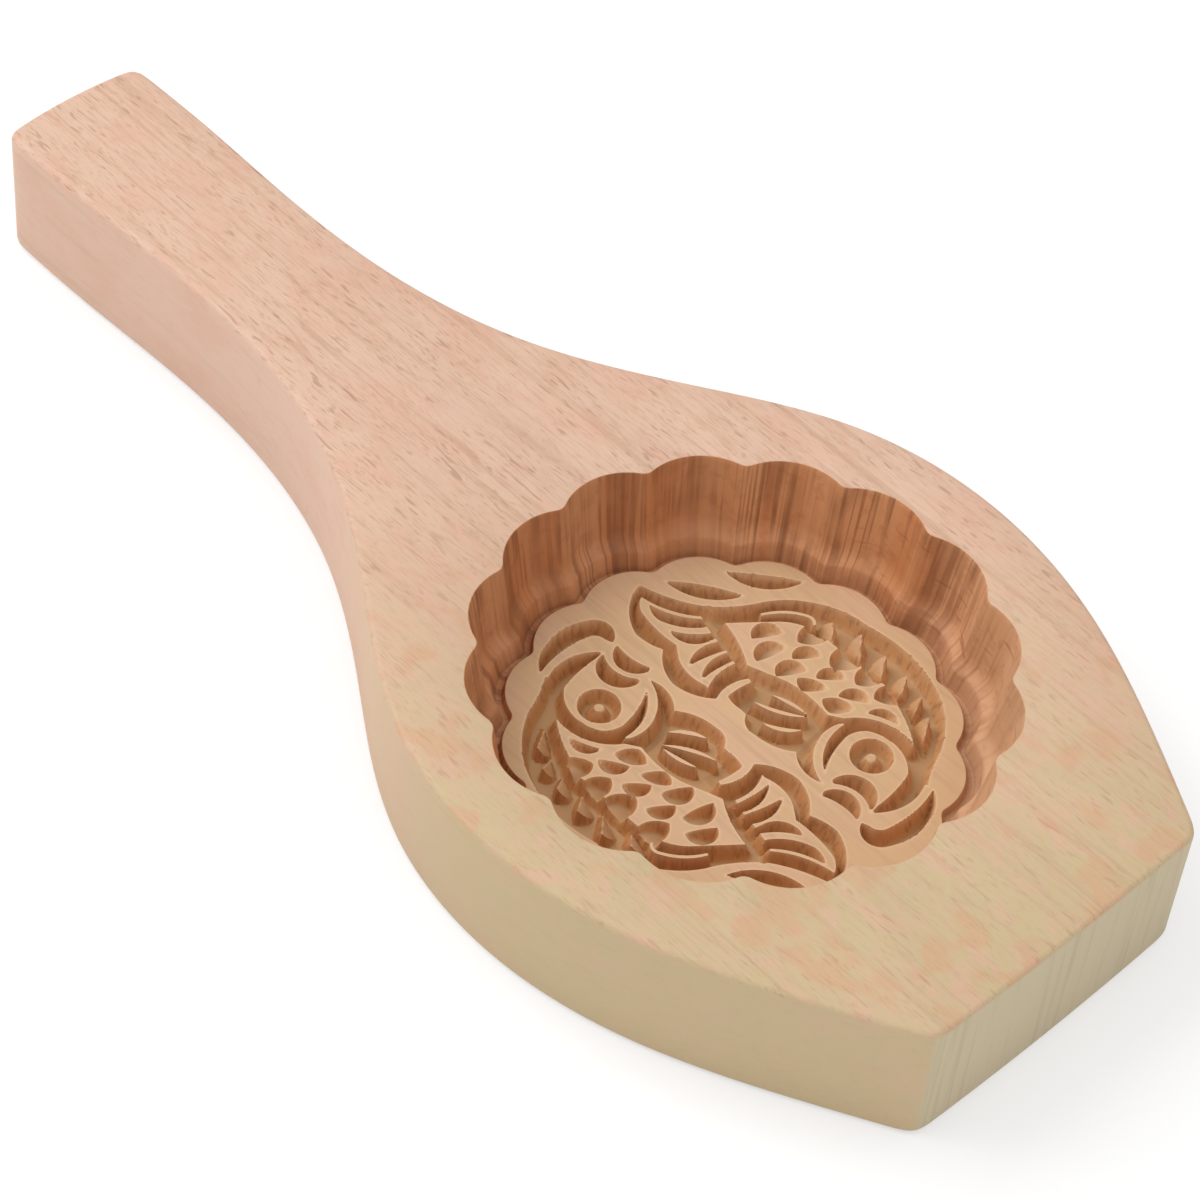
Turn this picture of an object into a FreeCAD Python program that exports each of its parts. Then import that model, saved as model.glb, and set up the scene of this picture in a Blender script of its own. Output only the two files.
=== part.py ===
"""A carved mooncake mould: one solid board with a scalloped cavity and two carp cut into its floor.

All lengths are in millimetres. The origin is the middle of the underside, +X runs along the board
towards the head with the cavity, +Z points up out of the cavity.
"""
import FreeCAD, Part
import math
import os

doc = FreeCAD.newDocument("mooncake_mould")
sheet = doc.addObject("Spreadsheet::Sheet", "Sheet")

SIZES = {
    # board
    "board_length": 216.5,
    "board_thickness": 23.0,
    "edge_round": 1.4,
    # half widths of the board, from the handle end to the head end, and where each one is
    "handle_half_width": 13.1,
    "waist_half_width": 12.4,
    "neck_half_width": 13.6,
    "shoulder_foot_half_width": 19.5,
    "shoulder_half_width": 32.3,
    "shoulder_top_half_width": 45.7,
    "widest_half_width": 50.0,
    "cheek_half_width": 46.3,
    "taper_half_width": 36.1,
    "head_end_half_width": 26.3,
    "handle_at": 18.1,
    "waist_at": 40.7,
    "neck_at": 63.3,
    "shoulder_foot_at": 85.8,
    "shoulder_at": 108.4,
    "shoulder_top_at": 131.0,
    "cavity_at": 153.6,
    "cheek_at": 176.2,
    "taper_at": 198.8,
    # ends of the board
    "handle_end_bow": 1.0,
    "handle_end_half_flat": 13.0,
    "handle_corner_round": 3.0,
    "head_end_bow": 0.5,
    "head_corner_round": 3.5,
    # scalloped cavity: radii are measured to the points between two lobes
    "lobe_count": 16.0,
    "lobe_rise_ratio": 0.0627,
    "lobe_point_half_width": 0.9,
    "lobe_point_rise": 0.35,
    "rim_radius": 37.64,
    "wall_foot_radius": 35.55,
    "ledge_depth": 13.2,
    "moat_outer_radius": 34.2,
    "moat_outer_foot_radius": 33.3,
    "moat_depth": 17.0,
    "floor_radius": 32.0,
    "floor_foot_radius": 32.5,
    "floor_depth": 15.6,
    # carving
    "groove_depth": 2.8,
    "web_depth": 1.9,
    "scale_depth": 2.6,
    "scale_run_out": 0.7,
    "tooth_drop": 1.9,
    "eye_radius": 3.25,
    "eye_depth": 2.4,
    "pupil_top_radius": 0.75,
    "pupil_foot_radius": 1.9,
    "pupil_height": 2.0,
    "motif_shift_x": -0.3,
    "motif_shift_y": 0.28,
}

for row, (alias, value) in enumerate(SIZES.items(), start=1):
    sheet.set("A%d" % row, alias)
    sheet.set("B%d" % row, "%g" % value)
    sheet.setAlias("B%d" % row, alias)
doc.recompute()


def size(alias):
    """The value of one named size, read from the sheet."""
    return float(sheet.get(alias))


# Outlines of the carving, for one carp, in millimetres from the middle of the floor.
# The points go corner, point on the way, corner, point on the way, round to the start.
# None as the point on the way makes a straight side, any other point makes an arc.
GROOVES = {
    "back": [(-20.3, 13.3), (-17.3, 16.9), (-15.2, 20.8), (-10.5, 26.3), (-2.0, 29.4), (6.0, 30.1),
             (14.5, 27.7), (19.2, 23.9), (21.7, 20.2), (22.9, 17.4), (25.0, 14.0), None,
             (21.9, 13.6), None, (18.2, 18.2), (15.2, 20.1), (11.8, 21.6), (9.0, 23.0),
             (6.9, 22.9), None, (-3.6, 22.8), (-7.5, 22.2), (-11.4, 19.2), None, (-15.9, 13.4), None],
    "head_ring": [(8.3, 13.9), (12.3, 17.6), (18.2, 18.2), (22.0, 16.9), (24.3, 14.3), (25.35, 9.5),
                  (22.9, 4.3), None, (22.7, 6.0), (22.55, 9.0), (21.6, 13.4), (17.0, 16.0),
                  (12.2, 14.8), (11.15, 13.0), (10.95, 11.5), None, (9.2, 12.9), None],
    "inner_gill": [(9.15, 13.2), (10.2, 8.0), (13.6, 4.45), (12.0, 7.5), (10.95, 11.5), None,
                   (10.7, 12.9), None],
    "outer_gill": [(6.3, 12.5), (6.6, 8.0), (7.8, 4.5), (11.2, 2.4), (14.7, 2.8), (10.4, 5.3),
                   (8.4, 9.0), (8.25, 10.8), (8.6, 12.6), None, (9.6, 14.0), None,
                   (8.3, 13.9), None],
    "lip": [(15.2, 4.3), (18.2, 8.2), (22.7, 4.4), (19.0, 5.5), (15.8, 3.9), None],
    "chin": [(15.9, 1.9), (19.0, 4.65), (22.6, 1.8), (19.3, 2.0), (16.2, 1.05), None],
    "whisker": [(25.8, 14.3), (26.85, 9.5), (26.4, 3.8), (25.8, 2.95), (24.5, 2.5), None,
                (23.3, 2.05), (25.5, 0.08), (28.8, 1.9), (29.85, 5.5), (29.3, 9.7), (28.0, 12.5)],
    "square": [(-5.3, 8.3), (-5.65, 6.0), (-5.6, 3.8), (-3.6, 3.4), (-2.4, 3.5), None,
               (-2.2, 8.1), None],
    "tail_rim_left": [(-29.5, 8.9), (-27.1, 4.4), (-22.8, 1.75), (-20.5, 1.95), (-17.7, 3.0), None,
                      (-17.6, 4.85), (-21.5, 4.75), (-25.5, 5.4), (-26.8, 6.3), (-27.6, 7.4), None,
                      (-28.0, 8.3), None],
    "tail_rim_right": [(-18.2, 2.9), (-15.6, 0.4), (-12.4, -0.75), (-9.3, 0.0), (-6.35, 2.25), None,
                       (-9.1, 2.8), (-12.4, 2.35), (-15.2, 3.2), (-16.3, 4.0), (-17.5, 4.9), None,
                       (-18.4, 4.6), None],
    "tail_1": [(-29.5, 8.9), (-25.3, 10.3), (-20.3, 13.3), None, (-19.4, 13.5), None,
               (-18.6, 12.1), None, (-19.0, 11.6), (-23.0, 8.75), (-27.6, 7.4), None,
               (-28.6, 7.7), None],
    "tail_2": [(-25.8, 7.3), (-22.3, 8.5), (-18.8, 11.2), None, (-18.4, 11.6), None,
               (-17.0, 11.1), None, (-17.3, 10.4), (-19.6, 7.8), (-22.6, 6.25), (-24.5, 6.5)],
    "tail_3": [(-20.1, 6.15), (-17.8, 7.9), (-15.8, 10.6), None, (-15.4, 10.9), None,
               (-14.6, 10.5), None, (-14.9, 9.4), (-16.1, 6.8), (-18.3, 5.75), (-19.4, 5.8)],
    "tail_4": [(-13.9, 10.2), (-14.75, 6.6), (-13.4, 3.4), (-13.0, 6.2), (-12.1, 9.6), None,
               (-12.0, 10.2), None, (-13.6, 10.6), None],
    "tail_5": [(-11.4, 10.0), (-12.0, 6.4), (-10.3, 3.0), (-10.35, 5.8), (-9.95, 8.9), None,
               (-9.8, 9.6), None, (-11.1, 10.1), None],
    "tail_6": [(-9.2, 9.3), (-9.6, 6.0), (-8.8, 3.05), None, (-8.3, 2.3), None,
               (-6.35, 2.25), (-7.0, 4.8), (-6.0, 8.4), None, (-6.1, 9.0), None, (-9.0, 9.6), None],
    "upper_leaf": [(-14.1, 28.3), (-18.8, 24.7), (-23.1, 20.5), (-17.2, 22.4)],
    "lower_leaf": [(-17.9, 19.4), (-22.6, 16.7), (-27.7, 12.3), (-21.6, 14.1)],
}
WEBS = {
    "tail_root": [(-20.3, 13.3), None, (-19.8, 14.2), None, (-16.7, 14.2), None,
                  (-15.9, 13.4), (-12.3, 12.4), (-8.0, 10.15), (-6.3, 10.8), (-5.0, 11.3), None,
                  (-4.9, 8.3), None, (-6.6, 8.6), (-9.4, 9.0), (-12.0, 9.8), None,
                  (-14.6, 10.2), None, (-17.5, 10.9), None, (-19.2, 11.6), None],
    "belly_fin": [(-5.3, 8.3), None, (-5.8, 10.98), None, (-5.0, 11.3), (-3.4, 11.95),
                  (-1.9, 12.5), (2.0, 12.95), (6.3, 12.5), None, (8.4, 4.3), (4.8, 2.1),
                  (2.0, 1.65), (0.2, 1.8), (-1.2, 3.0), None, (-1.5, 3.4), None, (-3.0, 3.5), None,
                  (-3.0, 8.0), None],
}
FIN_RAYS = {
    "ray_1": [(-1.8, 8.9), (1.2, 10.2), (4.4, 10.3), (1.0, 9.45)],
    "ray_2": [(-2.6, 5.95), (0.9, 7.65), (4.8, 9.85), (1.3, 7.1)],
    "ray_3": [(1.2, 3.9), (3.4, 5.6), (6.0, 7.7), (3.9, 4.9)],
}
# The last corner of a scale is its tip, where its floor runs out to the floor of the cavity.
SCALES = {
    "low_1": ([(-8.9, 18.65), (-12.6, 17.2), (-11.2, 14.3), (-9.9, 16.3)], (-8.9, 18.65)),
    "low_2": ([(-6.6, 17.0), (-9.75, 14.9), (-7.6, 11.7), (-6.85, 14.2)], (-6.6, 17.0)),
    "low_3": ([(-1.5, 16.2), (-5.3, 14.5), (-3.7, 11.9), (-2.4, 13.9)], (-1.5, 16.2)),
    "low_4": ([(2.9, 16.1), (0.6, 15.9), (-1.5, 14.1), (-0.9, 13.4), (0.9, 13.0), (2.0, 14.2)],
              (2.9, 16.1)),
    "low_5": ([(8.0, 16.3), (5.4, 16.1), (3.65, 14.0), (4.6, 13.3), (6.2, 13.0), (7.5, 14.3)],
              (8.0, 16.3)),
    "middle_1": ([(-2.1, 19.8), (-5.6, 18.3), (-4.55, 16.1), (-3.2, 17.8)], (-2.1, 19.8)),
    "middle_2": ([(3.3, 19.3), (-0.4, 18.1), (0.35, 16.15), (2.0, 17.6)], (3.3, 19.3)),
    "middle_3": ([(8.8, 18.8), (5.1, 18.9), (4.85, 16.15), (6.9, 17.3)], (8.8, 18.8)),
    "middle_4": ([(14.4, 19.1), (11.2, 19.85), (9.8, 17.1), (12.1, 18.35)], (14.4, 19.1)),
    "high_1": ([(-3.9, 23.4), (-4.5, 20.4), (-6.3, 19.05), (-7.5, 20.4), (-7.2, 23.4), None],
               (-3.9, 23.4)),
    "high_2": ([(-0.9, 23.6), (-1.3, 20.8), (0.1, 19.45), (2.1, 20.6), (2.6, 23.6), None],
               (2.6, 23.6)),
    "high_3": ([(3.9, 23.6), (3.6, 21.0), (5.0, 19.8), (6.3, 20.8), (6.9, 23.6), None],
               (6.9, 23.6)),
    "high_4": ([(8.3, 23.6), (7.7, 21.2), (8.6, 19.85), (10.4, 20.5), (11.9, 21.9), None],
               (11.9, 21.9)),
}
# Fin teeth stand in the back groove: outline, and the point at the floor of the cavity.
TEETH = {
    "tooth_1": ([(-7.2, 24.0), (-6.9, 25.2), (-5.6, 25.9), (-3.6, 25.3), (-1.8, 23.6), None], (-5.6, 25.9)),
    "tooth_2": ([(-1.9, 25.2), (-2.0, 26.6), (-1.3, 27.6), (1.5, 26.5), (3.0, 24.3), None], (-1.3, 27.6)),
    "tooth_3": ([(2.9, 25.0), (2.9, 26.6), (3.7, 27.5), (6.0, 25.9), (7.3, 24.2), None], (3.7, 27.5)),
    "tooth_4": ([(7.3, 25.0), (7.3, 26.2), (8.1, 27.1), (10.0, 25.6), (11.5, 23.9), None], (8.1, 27.1)),
    "tooth_5": ([(11.6, 24.4), (11.7, 25.5), (12.3, 26.2), (13.7, 24.8), (14.8, 22.8), None], (12.3, 26.2)),
    "tooth_6": ([(15.0, 22.4), (14.9, 24.0), (15.6, 24.8), (18.2, 22.4), (20.2, 19.2), (17.3, 21.0)],
                (15.6, 24.8)),
}
FIRST_RAY = [(-13.9, 18.7), (-12.2, 21.6), (-9.1, 24.1), None, (-8.7, 23.4), (-11.4, 21.2), (-13.4, 18.6), None]


def side_points():
    """Points along one long side of the board, from the handle end to the head end."""
    start = -size("board_length") / 2
    names = ["handle", "waist", "neck", "shoulder_foot", "shoulder", "shoulder_top"]
    points = [(start + size("handle_end_bow"), size("handle_end_half_flat"))]
    for name in names:
        points.append((start + size(name + "_at"), size(name + "_half_width")))
    points.append((start + size("cavity_at"), size("widest_half_width")))
    for name in ["cheek", "taper"]:
        points.append((start + size(name + "_at"), size(name + "_half_width")))
    points.append((-start - size("head_end_bow"), size("head_end_half_width")))
    return points


def side_curve(points, sign):
    """A smooth curve through the points of one side; sign -1 gives the opposite side."""
    curve = Part.BSplineCurve()
    curve.interpolate([FreeCAD.Vector(x, sign * y, 0) for x, y in points])
    return curve.toShape()


def corner_edges(solid, end):
    """The upright edges of a prism at its head end (end = 1) or its handle end (end = -1)."""
    found = []
    for edge in solid.Edges:
        box = edge.BoundBox
        if box.ZLength > size("board_thickness") / 2 and end * box.XMin > 0:
            found.append(edge)
    return found


def board_blank():
    """The board before it is hollowed: outline, rounded corners, rounded top and bottom edges."""
    points = side_points()
    half = size("board_length") / 2
    first, last = points[0], points[-1]
    head = Part.Arc(
        FreeCAD.Vector(last[0], last[1], 0), FreeCAD.Vector(half, 0, 0), FreeCAD.Vector(last[0], -last[1], 0)
    ).toShape()
    handle = Part.Arc(
        FreeCAD.Vector(first[0], -first[1], 0), FreeCAD.Vector(-half, 0, 0), FreeCAD.Vector(first[0], first[1], 0)
    ).toShape()
    wire = Part.Wire([side_curve(points, 1), head, side_curve(points, -1), handle])
    solid = Part.Face(wire).extrude(FreeCAD.Vector(0, 0, size("board_thickness")))
    for end, alias in [(1, "head_corner_round"), (-1, "handle_corner_round")]:
        solid = solid.makeFillet(size(alias), corner_edges(solid, end))
    rims = [edge for edge in solid.Edges if edge.BoundBox.ZLength < 0.01]
    return solid.makeFillet(size("edge_round"), rims)


def scallop_wire(radius, depth):
    """A ring of equal lobes with softened points between them, at one depth below the top face."""
    count = int(size("lobe_count"))
    step = 2 * math.pi / count
    peak = radius * (1 + size("lobe_rise_ratio"))
    half = size("lobe_point_half_width") / radius
    shoulder = radius + size("lobe_point_rise")
    z = size("board_thickness") - depth

    def point(r, angle):
        return FreeCAD.Vector(r * math.cos(angle), r * math.sin(angle), z)

    edges = []
    for k in range(count):
        a = k * step
        edges.append(Part.Arc(point(shoulder, a - half), point(radius, a), point(shoulder, a + half)).toShape())
        edges.append(
            Part.Arc(point(shoulder, a + half), point(peak, a + step / 2), point(shoulder, a + step - half)).toShape()
        )
    return Part.Wire(edges)


def scallop_solid(radius_high, depth_high, radius_low, depth_low):
    """A solid with straight sloping sides between two rings of lobes."""
    wires = [scallop_wire(radius_high, depth_high), scallop_wire(radius_low, depth_low)]
    return Part.makeLoft(wires, True, True)


def cavity_tool():
    """What is taken out for the scalloped cavity, its ledge and the moat round the raised floor."""
    slope = (size("rim_radius") - size("wall_foot_radius")) / size("ledge_depth")
    above = 1.0
    well = scallop_solid(size("rim_radius") + slope * above, -above, size("wall_foot_radius"), size("ledge_depth"))
    moat = scallop_solid(size("moat_outer_radius"), size("ledge_depth") - above,
                         size("moat_outer_foot_radius"), size("moat_depth"))
    floor = scallop_solid(size("floor_radius"), size("floor_depth"),
                          size("floor_foot_radius"), size("moat_depth") + above)
    return well.fuse(moat).cut(floor)


def carving_scale():
    """The carving outlines are drawn for a floor radius of 32 and follow the real one."""
    return size("floor_radius") / 32.0


def slab(outline, level, height):
    """A solid over an outline: level(x, y) is its start, height its upright thickness."""
    scale = carving_scale()

    def point(p):
        return FreeCAD.Vector(scale * p[0], scale * p[1], level(p[0], p[1]))

    edges = []
    corners, ways = outline[0::2], outline[1::2]
    for k, (corner, way) in enumerate(zip(corners, ways)):
        following = corners[(k + 1) % len(corners)]
        if way is None:
            edges.append(Part.makeLine(point(corner), point(following)))
        else:
            edges.append(Part.Arc(point(corner), point(way), point(following)).toShape())
    return Part.Face(Part.Wire(edges)).extrude(FreeCAD.Vector(0, 0, height))


def ramp(outline, tip, at_tip, at_far):
    """A sloping level: at_tip at the tip of an outline, at_far at its farthest corner."""
    corners = outline[0::2]
    far = max(corners, key=lambda p: math.dist(p, tip))
    length = math.dist(far, tip)
    along = ((far[0] - tip[0]) / length, (far[1] - tip[1]) / length)

    def level(x, y):
        share = ((x - tip[0]) * along[0] + (y - tip[1]) * along[1]) / length
        return at_tip + (at_far - at_tip) * share

    return level


def tooth_level(outline, tip):
    """The top of a fin tooth: the floor of the cavity at its tip, lower towards the body."""
    base_x = sum(p[0] for p in (outline[0], outline[4])) / 2
    base_y = sum(p[1] for p in (outline[0], outline[4])) / 2
    length = math.dist((base_x, base_y), tip)

    def level(x, y):
        run = (x - tip[0]) * (base_x - tip[0]) + (y - tip[1]) * (base_y - tip[1])
        return -size("tooth_drop") * max(run, 0) / length ** 2

    return level


def eye_tool():
    """The round eye pit with its cone-shaped pupil left standing."""
    scale = carving_scale()
    depth = size("eye_depth")
    centre = FreeCAD.Vector(15.8 * scale, 11.9 * scale, -depth)
    pit = Part.makeCylinder(size("eye_radius") * scale, depth + 1, centre)
    pupil = Part.makeCone(size("pupil_foot_radius") * scale, size("pupil_top_radius") * scale,
                          size("pupil_height"), centre)
    return pit.cut(pupil)


def carp_tool():
    """What is taken out for one carp; z = 0 is the floor of the cavity."""
    above = 1.0
    deep, web = size("groove_depth"), size("web_depth")
    teeth = [slab(outline, tooth_level(outline, tip), -deep - above) for outline, tip in TEETH.values()]
    teeth.append(slab(FIRST_RAY, lambda x, y: 0, -deep - above))
    rays = [slab(outline, lambda x, y: 0, -deep - above) for outline in FIN_RAYS.values()]
    tools = []
    for name, outline in GROOVES.items():
        tool = slab(outline, lambda x, y: -deep, deep + above)
        tools.append(tool.cut(teeth) if name == "back" else tool)
    for name, outline in WEBS.items():
        tool = slab(outline, lambda x, y: -web, web + above)
        tools.append(tool.cut(rays) if name == "belly_fin" else tool)
    for outline, tip in SCALES.values():
        level = ramp(outline, tip, -size("scale_run_out"), -size("scale_depth"))
        lift = size("scale_depth") + above
        tools.append(slab(outline, level, lift))
    tools.append(eye_tool())
    whole = tools[0].fuse(tools[1:])
    return whole.removeSplitter()


def feature(name, shape, place=None):
    """Adds one shape to the document; its placement is set after its shape."""
    item = doc.addObject("Part::Feature", name)
    item.Shape = shape
    if place is not None:
        item.Placement = place
    return item


cavity_x = size("cavity_at") - size("board_length") / 2
floor_z = size("board_thickness") - size("floor_depth")
blank = feature("board_blank", board_blank())
cavity = feature("cavity_cutter", cavity_tool(), FreeCAD.Placement(FreeCAD.Vector(cavity_x, 0, 0), FreeCAD.Rotation()))
carp_shape = carp_tool()
shift_x, shift_y = size("motif_shift_x"), size("motif_shift_y")
up = FreeCAD.Vector(0, 0, 1)
carp_middle = FreeCAD.Vector(cavity_x + shift_x, shift_y, floor_z)
upper_carp = feature("upper_carp_cutter", carp_shape, FreeCAD.Placement(carp_middle, FreeCAD.Rotation(up, 0)))
lower_carp = feature("lower_carp_cutter", carp_shape, FreeCAD.Placement(carp_middle, FreeCAD.Rotation(up, 180)))

hollowed = doc.addObject("Part::Cut", "hollowed_board")
hollowed.Base, hollowed.Tool = blank, cavity
one_carp = doc.addObject("Part::Cut", "one_carp_board")
one_carp.Base, one_carp.Tool = hollowed, upper_carp
board = doc.addObject("Part::Cut", "mould_board")
board.Base, board.Tool = one_carp, lower_carp
board.Label = "mould_board"
doc.recompute()

for item in doc.Objects:
    if "Invalid" in item.State or "Error" in item.State:
        raise RuntimeError("%s did not compute" % item.Name)
    if item.isDerivedFrom("Part::Feature"):
        if item.Shape.isNull() or not item.Shape.isValid():
            raise RuntimeError("%s has no valid shape" % item.Name)

for before, after in [(blank, hollowed), (hollowed, one_carp), (one_carp, board)]:
    if before.Shape.Volume - after.Shape.Volume < 100:
        raise RuntimeError("%s took nothing away" % after.Name)

os.makedirs("parts", exist_ok=True)
board.Shape.exportStep("parts/%s.step" % board.Label)
print("solids", len(board.Shape.Solids), "volume", round(board.Shape.Volume), "box", board.Shape.BoundBox)
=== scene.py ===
"""A carved mooncake mould of pale beech: one solid board with a scalloped cavity and two carp.

The board is built as one closed skin. Sizes of the board and of its carving are in millimetres. Meshes, the
finishes and the studio are in metres.
"""
import logging
import math
from dataclasses import dataclass, field
from enum import Enum
from typing import Optional, Union

import bpy
import numpy as np
from mathutils import Matrix, Vector


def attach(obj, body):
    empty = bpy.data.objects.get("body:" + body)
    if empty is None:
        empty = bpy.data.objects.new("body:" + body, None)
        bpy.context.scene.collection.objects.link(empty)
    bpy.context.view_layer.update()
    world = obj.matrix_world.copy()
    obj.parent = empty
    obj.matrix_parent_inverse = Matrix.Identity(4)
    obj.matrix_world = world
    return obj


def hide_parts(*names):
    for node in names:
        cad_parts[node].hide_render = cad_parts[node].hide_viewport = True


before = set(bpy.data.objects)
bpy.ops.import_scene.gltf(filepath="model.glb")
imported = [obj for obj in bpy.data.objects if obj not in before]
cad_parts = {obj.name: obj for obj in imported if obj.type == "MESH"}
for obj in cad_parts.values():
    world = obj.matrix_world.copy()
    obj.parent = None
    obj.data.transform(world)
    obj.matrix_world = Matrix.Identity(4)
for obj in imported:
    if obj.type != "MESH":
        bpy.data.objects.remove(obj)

logging.basicConfig(level=logging.INFO, format="%(message)s")
LOG = logging.getLogger("mould")
MM = 0.001
NODE = "mould_board"
Point = tuple[float, float]
Span = tuple[float, float]
Outline = list[Optional[Point]]
Array = np.ndarray
Place = tuple[float, float, float]
Colour = tuple[float, float, float]
Value = bpy.types.NodeSocket
Amount = Union[Value, float]
Paint = Union[Value, Colour]
TINY = 1e-12
PINK: Colour = (0.60, 0.355, 0.255)
LINE: Colour = (0.43, 0.26, 0.155)
DARK: Colour = (0.22, 0.076, 0.03)


class Mark(Enum):
    """A value kept at each point of the skin, by its name in the mesh."""

    CARVED = "carved"
    # Closeness to the edge of a cut, which places a painted highlight along the edges.
    EDGE_HIGHLIGHT = "edge_highlight"
    INNER = "inner"
    FLOOR = "floor"
    TOP = "top"
    RING = "ring"


@dataclass(frozen=True)
class Board:
    """Sizes of the board, in millimetres, in the frame of the CAD."""

    half_length: float = 108.2
    thickness: float = 23.0
    cavity_at: float = 45.35
    edge_round: float = 0.95
    corner_reach: float = 1.9
    head_bow: float = 0.5
    handle_bow: float = 1.0
    side: tuple[Point, ...] = (
        (-107.25, 13.0), (-90.15, 13.1), (-67.55, 12.4), (-44.95, 13.6), (-22.45, 19.5), (0.15, 32.3),
        (22.75, 45.7), (45.35, 50.0), (67.95, 46.3), (90.55, 36.1), (107.75, 26.3),
    )


@dataclass(frozen=True)
class Cavity:
    """Sizes of the scalloped cavity, in millimetres, with radii taken at the points between lobes.

    The steps that round a corner of the section are pairs, outward and down from that corner. The waves
    of the hand-cut floor have a height in millimetres and run in radians for each millimetre.
    """

    lobes: int = 16
    lobe_rise: float = 0.0627
    point_half_angle: float = 0.026
    rim_radius: float = 37.64
    wall_foot_radius: float = 35.55
    ledge_depth: float = 13.2
    moat_outer_radius: float = 34.2
    moat_foot_radius: float = 33.5
    moat_depth: float = 17.0
    floor_radius: float = 32.0
    floor_depth: float = 15.6
    floor_edge: float = 0.12
    moat_inner_steps: tuple[Point, ...] = ((0.15, -0.5), (0.35, -0.08), (0.7, 0.0))
    moat_outer_steps: tuple[Point, ...] = ((-0.3, -0.12), (0.0, -0.7))
    ledge_inner_steps: tuple[Point, ...] = ((-0.1, 0.75), (0.08, 0.45))
    ledge_outer_steps: tuple[Point, ...] = ((-0.8, 0.05), (-0.35, -0.55))
    wall_rows_over_ledge: tuple[float, ...] = (1.4, 2.6)
    wall_row_under_rim: float = 0.9
    rim_steps: tuple[Point, ...] = ((0.0, 0.22), (0.08, 0.05), (0.2, 0.0))
    wave_height: float = 0.05
    wave_along: float = 0.41
    wave_across: float = 0.37
    wave_start: float = 0.8
    bend_height: float = 1.7
    bend_across: float = 0.23


@dataclass(frozen=True)
class Carving:
    """Depths and slopes of the cuts, in millimetres below the floor of the cavity."""

    groove: float = 3.0
    groove_wall: float = 0.85
    web: float = 2.6
    web_wall: float = 0.9
    scale: float = 2.7
    scale_wall: float = 0.75
    scale_run_out: float = 0.5
    tooth_tail_side: float = 2.7
    tooth_crest_foot: float = 1.2
    tooth_head_side: float = 2.4
    tooth_wall: float = 0.45
    tooth_crest_share: float = 0.32
    tooth_head_lean: float = 0.35
    eye_radius: float = 3.25
    eye_depth: float = 2.4
    eye_wall: float = 0.8
    pupil_depth: float = 0.35
    pupil_radius: float = 0.75
    pupil_foot: float = 2.0
    eye_at: Point = (15.8, 11.9)
    middle: Point = (0.0, 0.08)
    aside: Point = (0.26, 0.0)
    scale_bow: float = 0.8
    ridge_foot: float = 0.2


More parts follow.
